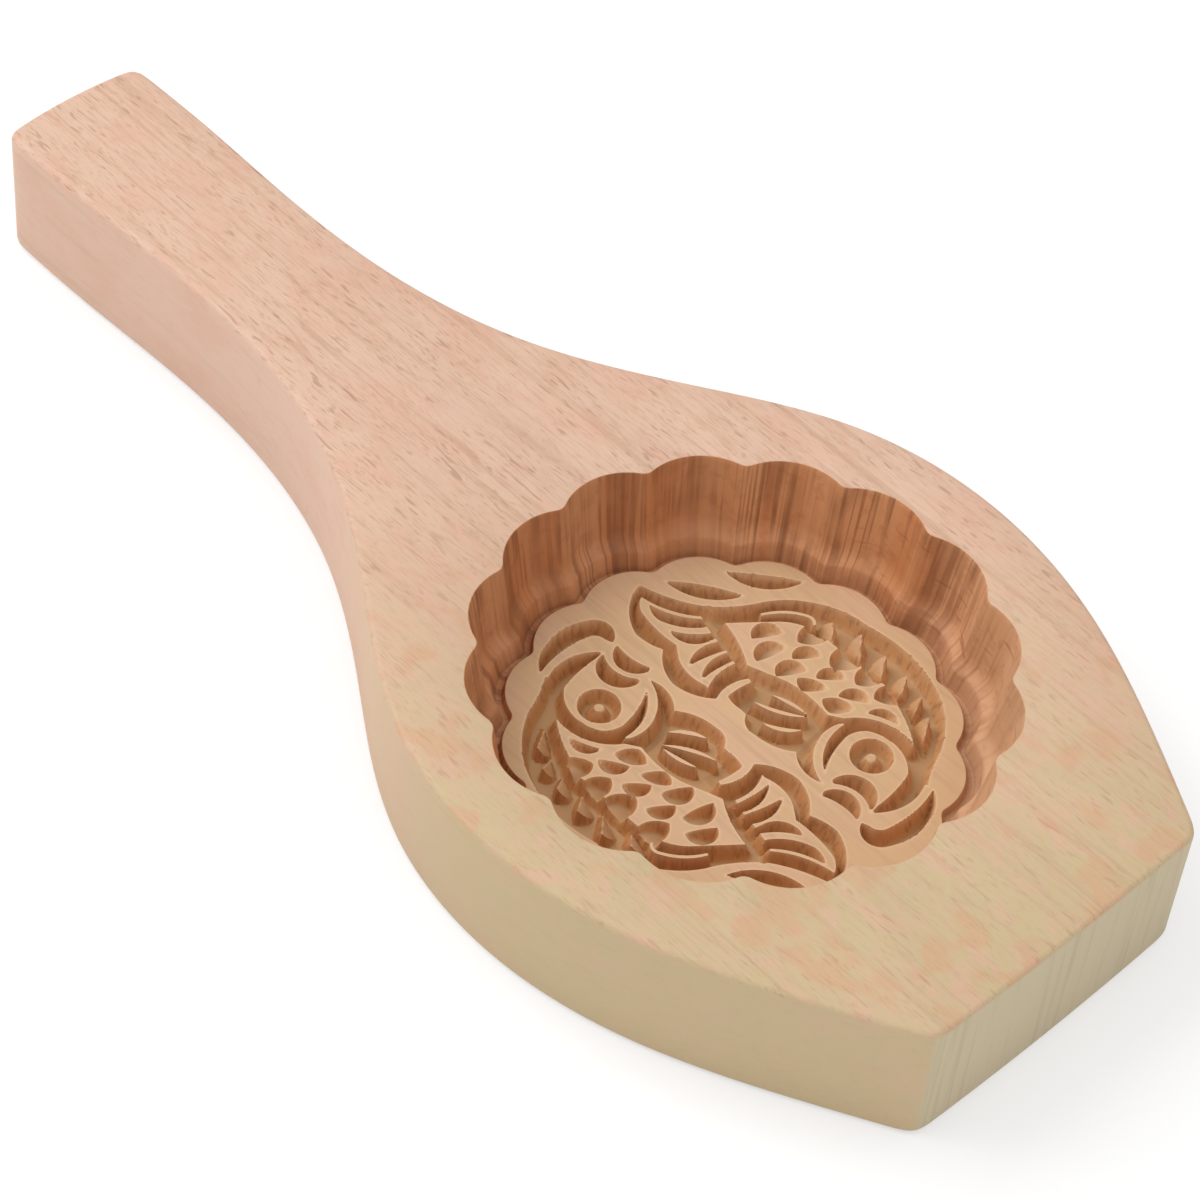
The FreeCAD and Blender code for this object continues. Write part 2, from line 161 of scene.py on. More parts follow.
# Outlines of one carp in millimetres: corner, point on the way (None where straight), corner and so on.
GROOVES: dict[str, Outline] = {
    "back": [(-20.3, 13.3), (-17.3, 16.9), (-15.2, 20.8), (-10.5, 26.3), (-2.0, 29.4), (6.0, 30.1),
        (14.5, 27.7), (19.2, 23.9), (21.7, 20.2), (22.9, 17.4), (25.0, 14.0), None,
        (21.9, 13.6), None, (18.2, 18.2), (15.2, 20.1), (11.8, 21.6), (9.0, 23.0),
        (6.9, 22.9), None, (-3.6, 22.8), (-7.5, 22.2), (-11.4, 19.2), None, (-15.9, 13.4), None],
    "head_ring": [(8.3, 13.9), (12.3, 17.6), (18.2, 18.2), (22.0, 16.9), (24.3, 14.3), (25.35, 9.5),
        (22.9, 4.3), None, (22.7, 6.0), (22.55, 9.0), (21.6, 13.4), (17.0, 16.0),
        (12.2, 14.8), (11.15, 13.0), (10.95, 11.5), None, (9.2, 12.9), None],
    "inner_gill": [(9.15, 13.2), (10.2, 8.0), (13.6, 4.45), (12.0, 7.5), (10.95, 11.5), None,
        (10.7, 12.9), None],
    "outer_gill": [(6.3, 12.5), (6.6, 8.0), (7.8, 4.5), (11.2, 2.4), (14.7, 2.8), (10.4, 5.3),
        (8.4, 9.0), (8.25, 10.8), (8.6, 12.6), None, (9.6, 14.0), None,
        (8.3, 13.9), None],
    "lip": [(15.2, 4.3), (18.2, 8.2), (22.7, 4.4), (19.0, 5.5), (15.8, 3.9), None],
    "chin": [(15.9, 1.9), (19.0, 4.65), (22.6, 1.8), (19.3, 2.0), (16.2, 1.05), None],
    "whisker": [(25.8, 14.3), (26.85, 9.5), (26.4, 3.8), (25.8, 2.95), (24.5, 2.5), None,
        (23.3, 2.05), (25.5, 0.08), (28.8, 1.9), (29.85, 5.5), (29.3, 9.7), (28.0, 12.5)],
    "square": [(-5.3, 8.3), (-5.65, 6.0), (-5.6, 3.8), (-3.6, 3.4), (-2.4, 3.5), None,
        (-2.2, 8.1), None],
    "tail_rim_left": [(-29.5, 8.9), (-27.1, 4.4), (-22.8, 1.75), (-20.5, 1.95), (-17.7, 3.0), None,
        (-17.6, 4.85), (-21.5, 4.75), (-25.5, 5.4), (-26.8, 6.3), (-27.6, 7.4), None,
        (-28.0, 8.3), None],
    "tail_rim_right": [(-18.2, 2.9), (-15.6, 0.4), (-12.4, -0.75), (-9.3, 0.0), (-6.35, 2.25), None,
        (-9.1, 2.8), (-12.4, 2.35), (-15.2, 3.2), (-16.3, 4.0), (-17.5, 4.9), None,
        (-18.4, 4.6), None],
    "tail_1": [(-29.5, 8.9), (-25.3, 10.3), (-20.3, 13.3), None, (-19.4, 13.5), None,
        (-18.6, 12.1), None, (-19.0, 11.6), (-23.0, 8.75), (-27.6, 7.4), None,
        (-28.6, 7.7), None],
    "tail_2": [(-25.8, 7.3), (-22.3, 8.5), (-18.8, 11.2), None, (-18.4, 11.6), None,
        (-17.0, 11.1), None, (-17.3, 10.4), (-19.6, 7.8), (-22.6, 6.25), (-24.5, 6.5)],
    "tail_3": [(-20.1, 6.15), (-17.8, 7.9), (-15.8, 10.6), None, (-15.4, 10.9), None,
        (-14.6, 10.5), None, (-14.9, 9.4), (-16.1, 6.8), (-18.3, 5.75), (-19.4, 5.8)],
    "tail_4": [(-13.9, 10.2), (-14.75, 6.6), (-13.4, 3.4), (-13.0, 6.2), (-12.1, 9.6), None,
        (-12.0, 10.2), None, (-13.6, 10.6), None],
    "tail_5": [(-11.4, 10.0), (-12.0, 6.4), (-10.3, 3.0), (-10.35, 5.8), (-9.95, 8.9), None,
        (-9.8, 9.6), None, (-11.1, 10.1), None],
    "tail_6": [(-9.2, 9.3), (-9.6, 6.0), (-8.8, 3.05), None, (-8.3, 2.3), None,
        (-6.35, 2.25), (-7.0, 4.8), (-6.0, 8.4), None, (-6.1, 9.0), None, (-9.0, 9.6), None],
    "upper_leaf": [(-14.1, 28.3), (-18.8, 24.7), (-23.1, 20.5), (-17.2, 22.4)],
    "lower_leaf": [(-17.9, 19.4), (-22.6, 16.7), (-27.7, 12.3), (-21.6, 14.1)],
}
WEBS: dict[str, Outline] = {
    "tail_root": [(-20.3, 13.3), None, (-19.8, 14.2), None, (-16.7, 14.2), None,
        (-15.9, 13.4), (-12.3, 12.4), (-8.0, 10.15), (-6.3, 10.8), (-5.0, 11.3), None,
        (-4.9, 8.3), None, (-6.6, 8.6), (-9.4, 9.0), (-12.0, 9.8), None,
        (-14.6, 10.2), None, (-17.5, 10.9), None, (-19.2, 11.6), None],
    "belly_fin": [(-5.3, 8.3), None, (-5.8, 10.98), None, (-5.0, 11.3), (-3.4, 11.95),
        (-1.9, 12.5), (2.0, 12.95), (6.3, 12.5), None, (8.4, 4.3), (4.8, 2.1),
        (2.0, 1.65), (0.2, 1.8), (-1.2, 3.0), None, (-1.5, 3.4), None, (-3.0, 3.5), None,
        (-3.0, 8.0), None],
}
# Ridges left standing at floor level inside the webs and the back groove.
RIDGES: dict[str, Outline] = {
    "fin_ray_1": [(-1.6, 8.95), (1.2, 10.2), (4.3, 10.25), (1.0, 9.55)],
    "fin_ray_2": [(-2.6, 5.95), (0.9, 7.6), (4.7, 9.95), (1.3, 7.1)],
    "fin_ray_3": [(1.2, 4.1), (3.4, 5.5), (5.9, 7.6), (3.9, 5.0)],
    "first_ray": [(-13.9, 18.7), (-12.2, 21.6), (-9.1, 24.1), (-7.95, 24.25), (-7.0, 23.6), None,
        (-7.2, 23.15), (-7.95, 23.75), (-8.95, 23.65), (-11.75, 21.35), (-13.5, 18.6), None],
}
# Scales: outline and tip.
SCALES: dict[str, tuple[Outline, Point]] = {
    "low_1": ([(-8.9, 18.65), (-12.6, 17.2), (-11.2, 14.3), (-9.9, 16.3)], (-8.9, 18.65)),
    "low_2": ([(-6.6, 17.0), (-9.75, 14.9), (-7.6, 11.7), (-6.85, 14.2)], (-6.6, 17.0)),
    "low_3": ([(-1.5, 16.2), (-5.3, 14.5), (-3.7, 11.9), (-2.4, 13.9)], (-1.5, 16.2)),
    "low_4": ([(2.9, 16.1), (0.6, 15.9), (-1.5, 14.1), (-0.9, 13.4), (0.9, 13.0), (2.0, 14.2)],
        (2.9, 16.1)),
    "low_5": ([(8.0, 16.3), (5.4, 16.1), (3.65, 14.0), (4.6, 13.3), (6.2, 13.0), (7.5, 14.3)],
        (8.0, 16.3)),
    "middle_1": ([(-2.1, 19.8), (-5.6, 18.3), (-4.55, 16.1), (-3.2, 17.8)], (-2.1, 19.8)),
    "middle_2": ([(3.3, 19.3), (-0.4, 18.1), (0.35, 16.15), (2.0, 17.6)], (3.3, 19.3)),
    "middle_3": ([(8.8, 18.8), (5.1, 18.9), (4.85, 16.15), (6.9, 17.3)], (8.8, 18.8)),
    "middle_4": ([(14.4, 19.1), (11.2, 19.85), (9.8, 17.1), (12.1, 18.35)], (14.4, 19.1)),
    "high_1": ([(-3.9, 24.0), (-4.5, 20.4), (-6.3, 19.05), (-7.5, 20.4), (-7.2, 23.9), None],
        (-3.9, 24.0)),
    "high_2": ([(-1.0, 24.2), (-1.3, 20.8), (0.1, 19.45), (2.1, 20.6), (2.7, 24.2), None],
        (2.7, 24.2)),
    "high_3": ([(3.9, 24.2), (3.6, 21.0), (5.0, 19.8), (6.3, 20.8), (7.0, 24.2), None],
        (7.0, 24.2)),
    "high_4": ([(8.3, 23.6), (7.7, 21.2), (8.6, 19.85), (10.4, 20.5), (11.9, 21.9), None],
        (11.9, 21.9)),
}
# Teeth of the back fin: outline from the tail side over the tip to the head side, and depth of the tip.
TEETH: dict[str, tuple[Outline, float]] = {
    "tooth_1": ([(-7.2, 24.0), (-6.9, 25.2), (-5.6, 25.9), (-3.6, 25.3), (-1.8, 23.6), None], 0.1),
    "tooth_2": ([(-1.9, 25.2), (-2.0, 26.6), (-1.3, 27.6), (1.5, 26.5), (3.0, 24.3), None], 0.1),
    "tooth_3": ([(2.9, 25.0), (3.0, 26.5), (3.9, 27.4), (6.0, 25.9), (7.3, 24.2), None], 0.1),
    "tooth_4": ([(7.3, 25.0), (7.6, 26.2), (8.65, 26.9), (10.2, 25.5), (11.5, 23.9), None], 0.15),
    "tooth_5": ([(11.6, 24.2), (11.9, 25.3), (12.8, 25.85), (13.9, 24.6), (14.8, 22.8), None], 0.2),
    "tooth_6": ([(15.0, 22.0), (15.2, 23.3), (16.1, 23.8), (18.3, 22.0), (20.2, 19.2), (17.3, 20.9)], 0.3),
}


def round_at(radius: Array, angle: Array) -> Array:
    """Points (..., 2) at a radius and an angle from the middle: radius times (cos, sin)."""
    return np.stack([radius * np.cos(angle), radius * np.sin(angle)], axis=-1)


def run_length(points: Array) -> Array:
    """Length along a line of points (n, 2) up to each of them."""
    return np.concatenate([[0], np.cumsum(np.hypot(*np.diff(points, axis=0).T))])


def points_at(wanted: Array, key: Array, points: Array) -> Array:
    """Points (n, 2) worked out for other values of the key that runs along them."""
    return np.stack([np.interp(wanted, key, points[:, i]) for i in (0, 1)], axis=1)


def arc(start: Point, way: Point, end: Point, count: int) -> Array:
    """Points on the circle through three points, from start up to but not including end.

    Args:
        start: First point.
        way: A point between them.
        end: Last point, left out.
        count: How many points.

    Returns:
        Array (count, 2): centre plus radius times (cos, sin) of evenly spaced angles.
    """
    a, m, b = (np.array(p, float) for p in (start, way, end))
    rows = np.array([2 * (m - a), 2 * (b - a)])
    centre = np.linalg.solve(rows, np.array([m @ m - a @ a, b @ b - a @ a]))
    angle_a, angle_b = (math.atan2(*(p - centre)[::-1]) for p in (a, b))
    turn = 1.0 if (m[0] - a[0]) * (b[1] - m[1]) - (m[1] - a[1]) * (b[0] - m[0]) > 0 else -1.0
    sweep = (turn * (angle_b - angle_a)) % (2 * math.pi)
    angles = angle_a + turn * sweep * np.arange(count) / count
    return centre + round_at(np.hypot(*(a - centre)), angles)


def polygon(outline: Outline, count: int = 14) -> Array:
    """The outline as a closed run of points, each arc cut into count pieces.

    Args:
        outline: Corners and points on the way, in turn.
        count: Pieces for each arc.

    Returns:
        Array (n, 2) in millimetres.
    """
    corners, ways = outline[0::2], outline[1::2]
    ends = corners[1:] + corners[:1]
    parts = [
        np.array([a], float) if way is None else arc(a, way, b, count)
        for a, way, b in zip(corners, ways, ends)
    ]
    return np.vstack(parts)


def within(outline: Array, xy: Array) -> Array:
    """Tells which points lie inside a closed outline: a ray from them crosses an odd number of its sides.

    Args:
        outline: Corners (m, 2).
        xy: Points (n, 2).

    Returns:
        True for the points inside (n,).
    """
    a, b = outline, np.roll(outline, -1, axis=0)
    above = (a[None, :, 1] > xy[:, 1:2]) != (b[None, :, 1] > xy[:, 1:2])
    rise = np.where(np.abs(b[:, 1] - a[:, 1]) < TINY, TINY, b[:, 1] - a[:, 1])
    cross = a[None, :, 0] + (xy[:, 1:2] - a[None, :, 1]) * ((b[:, 0] - a[:, 0]) / rise)[None]
    return (above & (xy[:, 0:1] < cross)).sum(axis=1) % 2 == 1


def closest(starts: Array, ends: Array, xy: Array) -> tuple[Array, Array]:
    """Least distance to any of some straight sides, and the closest point on them.

    Args:
        starts: Starts of the sides (m, 2).
        ends: Ends of the sides (m, 2).
        xy: Points (n, 2).

    Returns:
        Distances (n,) and closest points (n, 2).
    """
    side = ends - starts
    length = np.maximum((side ** 2).sum(axis=1), TINY)
    block = 4000
    gaps, feet = [], []
    for part in np.array_split(xy, len(xy) // block + 1):
        x, y = part[:, 0:1] - starts[None, :, 0], part[:, 1:2] - starts[None, :, 1]
        share = np.clip((x * side[None, :, 0] + y * side[None, :, 1]) / length, 0, 1)
        gap = np.hypot(x - share * side[None, :, 0], y - share * side[None, :, 1])
        best = gap.argmin(axis=1)
        rows = np.arange(len(part))
        gaps.append(gap[rows, best])
        feet.append(starts[best] + share[rows, best][:, None] * side[best])
    return np.concatenate(gaps), np.concatenate(feet)


def short_sides(outline: Array, piece: float) -> tuple[Array, Array]:
    """Cuts the sides of a closed outline into even pieces.

    Args:
        outline: Corners (m, 2).
        piece: The longest a piece may be.

    Returns:
        Starts and ends of the pieces.
    """
    a, run = outline, np.roll(outline, -1, axis=0) - outline
    count = np.maximum(np.ceil(np.hypot(*run.T) / piece).astype(int), 1)
    side = np.repeat(np.arange(len(a)), count)
    step = np.arange(count.sum()) - np.repeat(np.cumsum(count) - count, count)
    starts = a[side] + run[side] * (step / count[side])[:, None]
    return starts, starts + run[side] / count[side][:, None]


@dataclass
class Region:
    """Closed outlines taken together; of their sides only those that bound the whole are kept."""

    outlines: list[Array]
    reach: float = 1.2
    piece: float = 0.15
    sides: list[tuple[Array, Array]] = field(default_factory=list, init=False)

    def __post_init__(self) -> None:
        """Cuts the sides into short pieces and drops the pieces that lie inside another outline."""
        for own in self.outlines:
            starts, ends = short_sides(own, self.piece)
            hidden = np.zeros(len(starts), bool)
            for other in self.outlines:
                if other is not own:
                    hidden |= within(other, (starts + ends) / 2)
            self.sides.append((starts[~hidden], ends[~hidden]))

    def measure(self, xy: Array) -> tuple[Array, Array]:
        """Distance to the edge of the region, up to reach, and the closest point on that edge.

        Args:
            xy: Points (n, 2) in millimetres.

        Returns:
            Distance (n,), positive inside the region and negative outside, and closest points (n, 2).
        """
        gap = np.full(len(xy), self.reach)
        foot = xy.copy()
        covered = np.zeros(len(xy), bool)
        for outline, (starts, ends) in zip(self.outlines, self.sides):
            low, high = outline.min(axis=0) - self.reach, outline.max(axis=0) + self.reach
            at = np.flatnonzero(np.all((xy > low) & (xy < high), axis=1))
            if len(at) == 0 or len(starts) == 0:
                continue
            covered[at] |= within(outline, xy[at])
            distance, place = closest(starts, ends, xy[at])
            closer = distance < gap[at]
            gap[at[closer]] = distance[closer]
            foot[at[closer]] = place[closer]
        return np.where(covered, gap, -gap), foot


def rounded(distance: Array, wall: float) -> Array:
    """The gouge profile: a sloping wall with a rounded foot, as a share of the depth.

    Formula: the smaller of distance/wall and 1, blended over a band where they meet.

    Args:
        distance: Distance from the edge of the cut, negative outside it.
        wall: Distance over which the wall goes down.

    Returns:
        0 at the edge and outside, 1 from about the distance wall on.
    """
    share = np.maximum(distance / wall, 0)
    band = 0.4
    blend = np.clip(0.5 + 0.5 * (1 - share) / band, 0, 1)
    return share * blend + (1 - blend) - band * blend * (1 - blend)


@dataclass
class Relief:
    """The carved floor: how deep the carving is below the floor at any point."""

    sizes: Carving
    scales: list[tuple[Array, Array]] = field(init=False)
    grooves: Region = field(init=False)
    open_cuts: Region = field(init=False)
    hollows: Region = field(init=False)
    ridges: list[tuple[Region, Array]] = field(init=False)

    def __post_init__(self) -> None:
        """Makes the regions of one carp from the outlines."""
        grooves = [polygon(outline) for outline in GROOVES.values()]
        webs = [polygon(outline) for outline in WEBS.values()]
        self.scales = [(polygon(outline), np.array(tip)) for outline, tip in SCALES.values()]
        self.grooves = Region(grooves)
        self.open_cuts = Region(grooves + webs)
        self.hollows = Region(grooves + webs + [outline for outline, _ in self.scales])
        level = np.zeros((1, 3))
        self.ridges = [(Region([polygon(outline)]), level) for outline in RIDGES.values()]
        for outline, tip_depth in TEETH.values():
            self.ridges.append((Region([polygon(outline)]), self.tooth_planes(outline, tip_depth)))

    def tooth_planes(self, outline: Outline, tip_depth: float) -> Array:
        """The two faces of a tooth, which meet in a crest from the tip to a foot on the base.

        Args:
            outline: Tail side, tip and head side are its first, third and fifth entries.
            tip_depth: Depth of the tip.

        Returns:
            Rows (a, b, c) of the tail-side and the head-side face: depth = a x + b y + c.
        """
        s = self.sizes
        tail, tip, head = (np.array(outline[k], float) for k in (0, 2, 4))
        foot = head + s.tooth_crest_share * (tail - head)
        planes = []
        for corner, depth in ((tail, s.tooth_tail_side), (head, s.tooth_head_side)):
            rows = np.column_stack([np.stack([tip, foot, corner]), np.ones(3)])
            if corner is head:
                rows[2, :2] += s.tooth_head_lean * (tip - head)
            planes.append(np.linalg.solve(rows, np.array([tip_depth, s.tooth_crest_foot, depth])))
        return np.array(planes)

    def local(self, xy: Array, turn: float) -> Array:
        """Points in the frame of one carp: turn is 1 for the first and -1 for the one turned half round."""
        return turn * (xy - np.array(self.sizes.middle)) - np.array(self.sizes.aside)

    def world(self, local: Array, turn: float) -> Array:
        """Points of one carp back in the frame of the cavity."""
        return turn * (local + np.array(self.sizes.aside)) + np.array(self.sizes.middle)

    def scale_depth(self, outline: Array, tip: Array, xy: Array) -> Array:
        """Depth of the bed of one scale: deep at the rounded end, running out at the tip.

        Args:
            outline: The scale's outline (m, 2).
            tip: Its tip.
            xy: Points (n, 2) in the frame of the carp.

        Returns:
            Depth (n,) in millimetres.
        """
        s = self.sizes
        away = np.hypot(*(outline - tip).T)
        along = (outline[away.argmax()] - tip) / away.max() ** 2
        share = np.clip((xy - tip) @ along, 0, 1)
        return s.scale_run_out + (s.scale - s.scale_run_out) * share ** s.scale_bow

    def one_carp(self, xy: Array) -> Array:
        """Depth of the carving of one carp.

        The open cuts are as deep as a web, the grooves in them go on to full depth, and a scale is cut
        by its own bed. Then the ridges stand back up. Every wall rises from the edge of a whole region.

        Args:
            xy: Points (n, 2) in the frame of the carp.

        Returns:
            Depth (n,) in millimetres.
        """
        s = self.sizes
        in_all, in_open, in_groove = (r.measure(xy)[0] for r in (self.hollows, self.open_cuts, self.grooves))
        depth = s.web * rounded(in_open, s.web_wall) + (s.groove - s.web) * rounded(in_groove, s.groove_wall)
        for outline, tip in self.scales:
            at = np.flatnonzero(within(outline, xy))
            bed = self.scale_depth(outline, tip, xy[at]) * rounded(in_all[at], s.scale_wall)
            depth[at] = np.maximum(depth[at], bed)
        for ridge, planes in self.ridges:
            distance, _ = ridge.measure(xy)
            top = np.clip((xy @ planes[:, :2].T + planes[:, 2]).max(axis=1), 0, s.groove)
            side = top + (s.groove + s.ridge_foot - top) * rounded(-distance, s.tooth_wall)
            depth = np.where(distance > 0, np.minimum(depth, top), np.minimum(depth, side))
        from_eye = np.hypot(*(xy - np.array(s.eye_at)).T)
        pit = s.eye_depth * rounded(s.eye_radius - from_eye, s.eye_wall)
        cone = (from_eye - s.pupil_radius) / (s.pupil_foot - s.pupil_radius) * s.eye_depth
        pit = np.minimum(pit, s.pupil_depth + np.maximum(cone, 0))
        return np.where(from_eye < s.eye_radius, pit, depth)

    def depth(self, xy: Array) -> Array:
        """Depth of both carp at each point, where the second is the first turned half round."""
        return np.maximum(self.one_carp(self.local(xy, 1.0)), self.one_carp(self.local(xy, -1.0)))

    def snap(self, xy: Array, reach: float, edge_highlight: float = 0.35) -> tuple[Array, Array]:
        """Moves the points that lie within reach of an edge onto it, so that edges come out clean.

        Args:
            xy: Points (n, 2) in millimetres.
            reach: How far a point may be moved.
            edge_highlight: How far from an edge the painted highlight on the wood reaches.

        Returns:
            The points, and how close each is to an edge, which places the painted edge highlight: 1 on it, 0
            from the distance edge_highlight on.
        """
        best = np.full(len(xy), edge_highlight)
        moved = xy.copy()
        for turn in (1.0, -1.0):
            local = self.local(xy, turn)
            ray = local - np.array(self.sizes.eye_at)
            from_eye = np.maximum(np.hypot(*ray.T), TINY)[:, None]
            circle = np.array(self.sizes.eye_at) + ray * self.sizes.eye_radius / from_eye
            regions = [self.hollows] + [ridge for ridge, _ in self.ridges]
            found = [region.measure(local) for region in regions]
            found.append((from_eye[:, 0] - self.sizes.eye_radius, circle))
            for distance, foot in found:
                gap = np.abs(distance)
                pulled = (gap < best) & (gap < reach)
                moved[pulled] = self.world(foot[pulled], turn)
                best = np.minimum(best, gap)
        return moved, 1 - best / edge_highlight


@dataclass
class Scallop:
    """The ring of lobes, as a radius for each direction."""

    sizes: Cavity

    def factor(self, angle: Array) -> Array:
        """Radius at an angle as a share of the radius at the points between lobes.

        Each lobe is an arc through two points and its peak: r = c cos(a) + sqrt(w^2 - c^2 sin(a)^2),
        with a the angle from the peak. Close to a point the radius follows a small rounded step.

        Args:
            angle: Angles in radians, counted from a point between lobes.

        Returns:
            The share for each angle.
        """
        s = self.sizes
        step = 2 * math.pi / s.lobes
        peak = 1 + s.lobe_rise
        c = (peak ** 2 - 1) / (2 * (peak - math.cos(step / 2)))
        w = peak - c
        from_point = np.abs((angle + step / 2) % step - step / 2)
        limit = np.maximum(from_point, s.point_half_angle)
        a = step / 2 - limit
        lobe = c * np.cos(a) + np.sqrt(w ** 2 - (c * np.sin(a)) ** 2)
        edge = step / 2 - s.point_half_angle
        root = math.sqrt(w ** 2 - (c * math.sin(edge)) ** 2)
        slope = c * math.sin(edge) + c ** 2 * math.sin(edge) * math.cos(edge) / root
        round_off = slope * (s.point_half_angle ** 2 - from_point ** 2) / (2 * s.point_half_angle)
        return lobe - np.where(from_point < s.point_half_angle, round_off, 0)


@dataclass
class Skin:
    """Builds the closed skin of the board as arrays of points and faces.

    The snap and the least gap are shares of the grid's pitch, and the plain edge is a share of the
    floor's radius. Outline points are shared out by angle and by length, and the bands are in millimetres.
    """

    board: Board
    cavity: Cavity
    relief: Relief
    cells: int = 260
    lobe_fade: int = 8
    snap_reach: float = 0.52
    least_gap: float = 0.22
    plain_edge: float = 0.02
    side_points: int = 1500
    end_points: int = 300
    by_angle: float = 0.78
    by_length: float = 0.22
    cavity_reach: float = 42.0
    rim_band: float = 0.05
    top_band: float = 0.8
    underside_band: float = 1.0
    uncut: float = 0.01

    def side_of_grid(self) -> tuple[Array, Array]:
        """A square grid bent onto a disc: squares keep nearly equal areas.

        Returns:
            Share of the radius (n, n) and angle (n, n). With u, v from -1 to 1 the share is the larger
            of |u|, |v| and the angle is pi/4 times the smaller over the larger, counted from its axis.
        """
        line = np.linspace(-1, 1, self.cells + 1)
        u, v = np.meshgrid(line, line, indexing="ij")
        wide = np.abs(u) >= np.abs(v)
        big = np.where(wide, u, v)
        small = np.where(wide, v, u)
        ratio = small / np.where(np.abs(big) < TINY, 1.0, big) * math.pi / 4
        angle = np.where(wide, ratio, math.pi / 2 - ratio) + np.where(big < 0, math.pi, 0)
        return np.abs(big), angle

    def waves(self, x: Array, y: Array) -> Array:
        """Height of the slow waves that a floor cut by hand has.

        Formula: height * sin(a x + b sin(c y)) * sin(d y + e), with the sizes of the cavity.

        Args:
            x: X in millimetres from the cavity's middle.
            y: Y in millimetres.

        Returns:
            Height in millimetres.
        """
        s = self.cavity
        along = np.sin(x * s.wave_along + s.bend_height * np.sin(y * s.bend_across))
        return s.wave_height * along * np.sin(y * s.wave_across + s.wave_start)

    def floor(self) -> tuple[Array, Array, Array]:
        """The carved floor.

        Returns:
            Points (n * n, 3) in millimetres from the cavity's middle, carving depth (n * n,) and how
            close each point is to the edge of a cut (n * n,).
        """
        share, angle = self.side_of_grid()
        lobes = 1 + (Scallop(self.cavity).factor(angle) - 1) * share ** self.lobe_fade
        radius = (self.cavity.floor_radius - self.cavity.floor_edge) * share * lobes
        xy = round_at(radius, angle)
        inner = xy[1:-1, 1:-1].reshape(-1, 2)
        pitch = 2 * self.cavity.floor_radius / self.cells
        moved, close = self.relief.snap(inner, self.snap_reach * pitch)
        before = xy[1:-1, 1:-1]
        xy[1:-1, 1:-1] = spread(before, moved.reshape(before.shape), self.least_gap * pitch)
        edge = np.zeros(share.shape)
        edge[1:-1, 1:-1] = close.reshape(edge[1:-1, 1:-1].shape)
        flat = xy.reshape(-1, 2)
        depth = self.relief.depth(flat)
        near_edge = np.clip((1 - share.ravel()) / self.plain_edge, 0, 1)
        depth = depth * near_edge
        hand = self.waves(*flat.T)
        z = self.board.thickness - self.cavity.floor_depth - depth + hand * near_edge
        return np.concatenate([flat, z[:, None]], axis=1), depth, edge.ravel()

    def rim_of_grid(self) -> Array:
        """The outer points of the grid, once round anticlockwise.

        Returns:
            Their indices.
        """
        n = self.cells + 1
        grid = np.arange(n * n).reshape(n, n)
        return np.concatenate([grid[-1, :-1], grid[::-1, -1][:-1], grid[0, ::-1][:-1], grid[:, 0][:-1]])

    def wall_profile(self) -> Array:
        """The section from the floor's edge up to the top face, with the corners rounded by small steps.

        Returns:
            Rows of radius at the points between lobes and depth below the top.
        """
        s = self.cavity
        top, foot, ledge = s.rim_radius, s.wall_foot_radius, s.ledge_depth
        slope = (top - foot) / ledge
        corners = (
            (s.floor_radius, s.floor_depth, ((0.0, s.floor_edge),)),
            (s.floor_radius, s.moat_depth, s.moat_inner_steps),
            (s.moat_foot_radius, s.moat_depth, s.moat_outer_steps),
            (s.moat_outer_radius, ledge, s.ledge_inner_steps),
            (foot, ledge, s.ledge_outer_steps),
            (foot, ledge, tuple((slope * up, -up) for up in s.wall_rows_over_ledge)),
            (top, 0.0, ((-slope * s.wall_row_under_rim, s.wall_row_under_rim),)),
            (top, 0.0, s.rim_steps),
        )
        rows = [(radius + out, depth + down) for radius, depth, steps in corners for out, down in steps]
        return np.array(rows)

    def outline(self, angles: Array) -> Array:
        """The board's outline from above.

        A smooth curve through the side points, mirrored, with bowed ends and rounded corners, is laid
        out by length. Its points are then shared out partly by angle and partly by length.

        Args:
            angles: Angles round the cavity, from -pi/4 on.

        Returns:
            One point (x, y) for each angle, in millimetres.
        """
        side = np.array(self.board.side)
        run = run_length(side)
        fine = spline(run, side, np.linspace(0, run[-1], self.side_points))
        across = np.linspace(-1, 1, self.end_points)
        head_x = self.board.half_length - self.board.head_bow * across ** 2
        head_line = np.stack([head_x, side[-1, 1] * across], axis=1)
        handle_x = -self.board.half_length + self.board.handle_bow * across ** 2
        handle_line = np.stack([handle_x, -side[0, 1] * across], axis=1)
        loop = np.vstack([head_line[:-1], fine[::-1][:-1], handle_line[:-1], fine[:-1] * [1, -1]])
        loop = round_corners(loop, self.board.corner_reach)
        local = loop - [self.board.cavity_at, 0]
        turn = np.unwrap(np.arctan2(local[:, 1], local[:, 0]))
        length = run_length(loop)
        total = length[-1] + np.hypot(*(loop[0] - loop[-1]))
        key = self.by_angle * (turn - turn[0]) / (2 * math.pi) + self.by_length * length / total
        start = np.interp(0.0, turn, key)
        wanted = (angles / (2 * math.pi) + start) % 1.0
        key3 = np.concatenate([key - 1, key, key + 1])
        loop3 = np.vstack([loop, loop, loop])
        return points_at(wanted, key3, loop3)

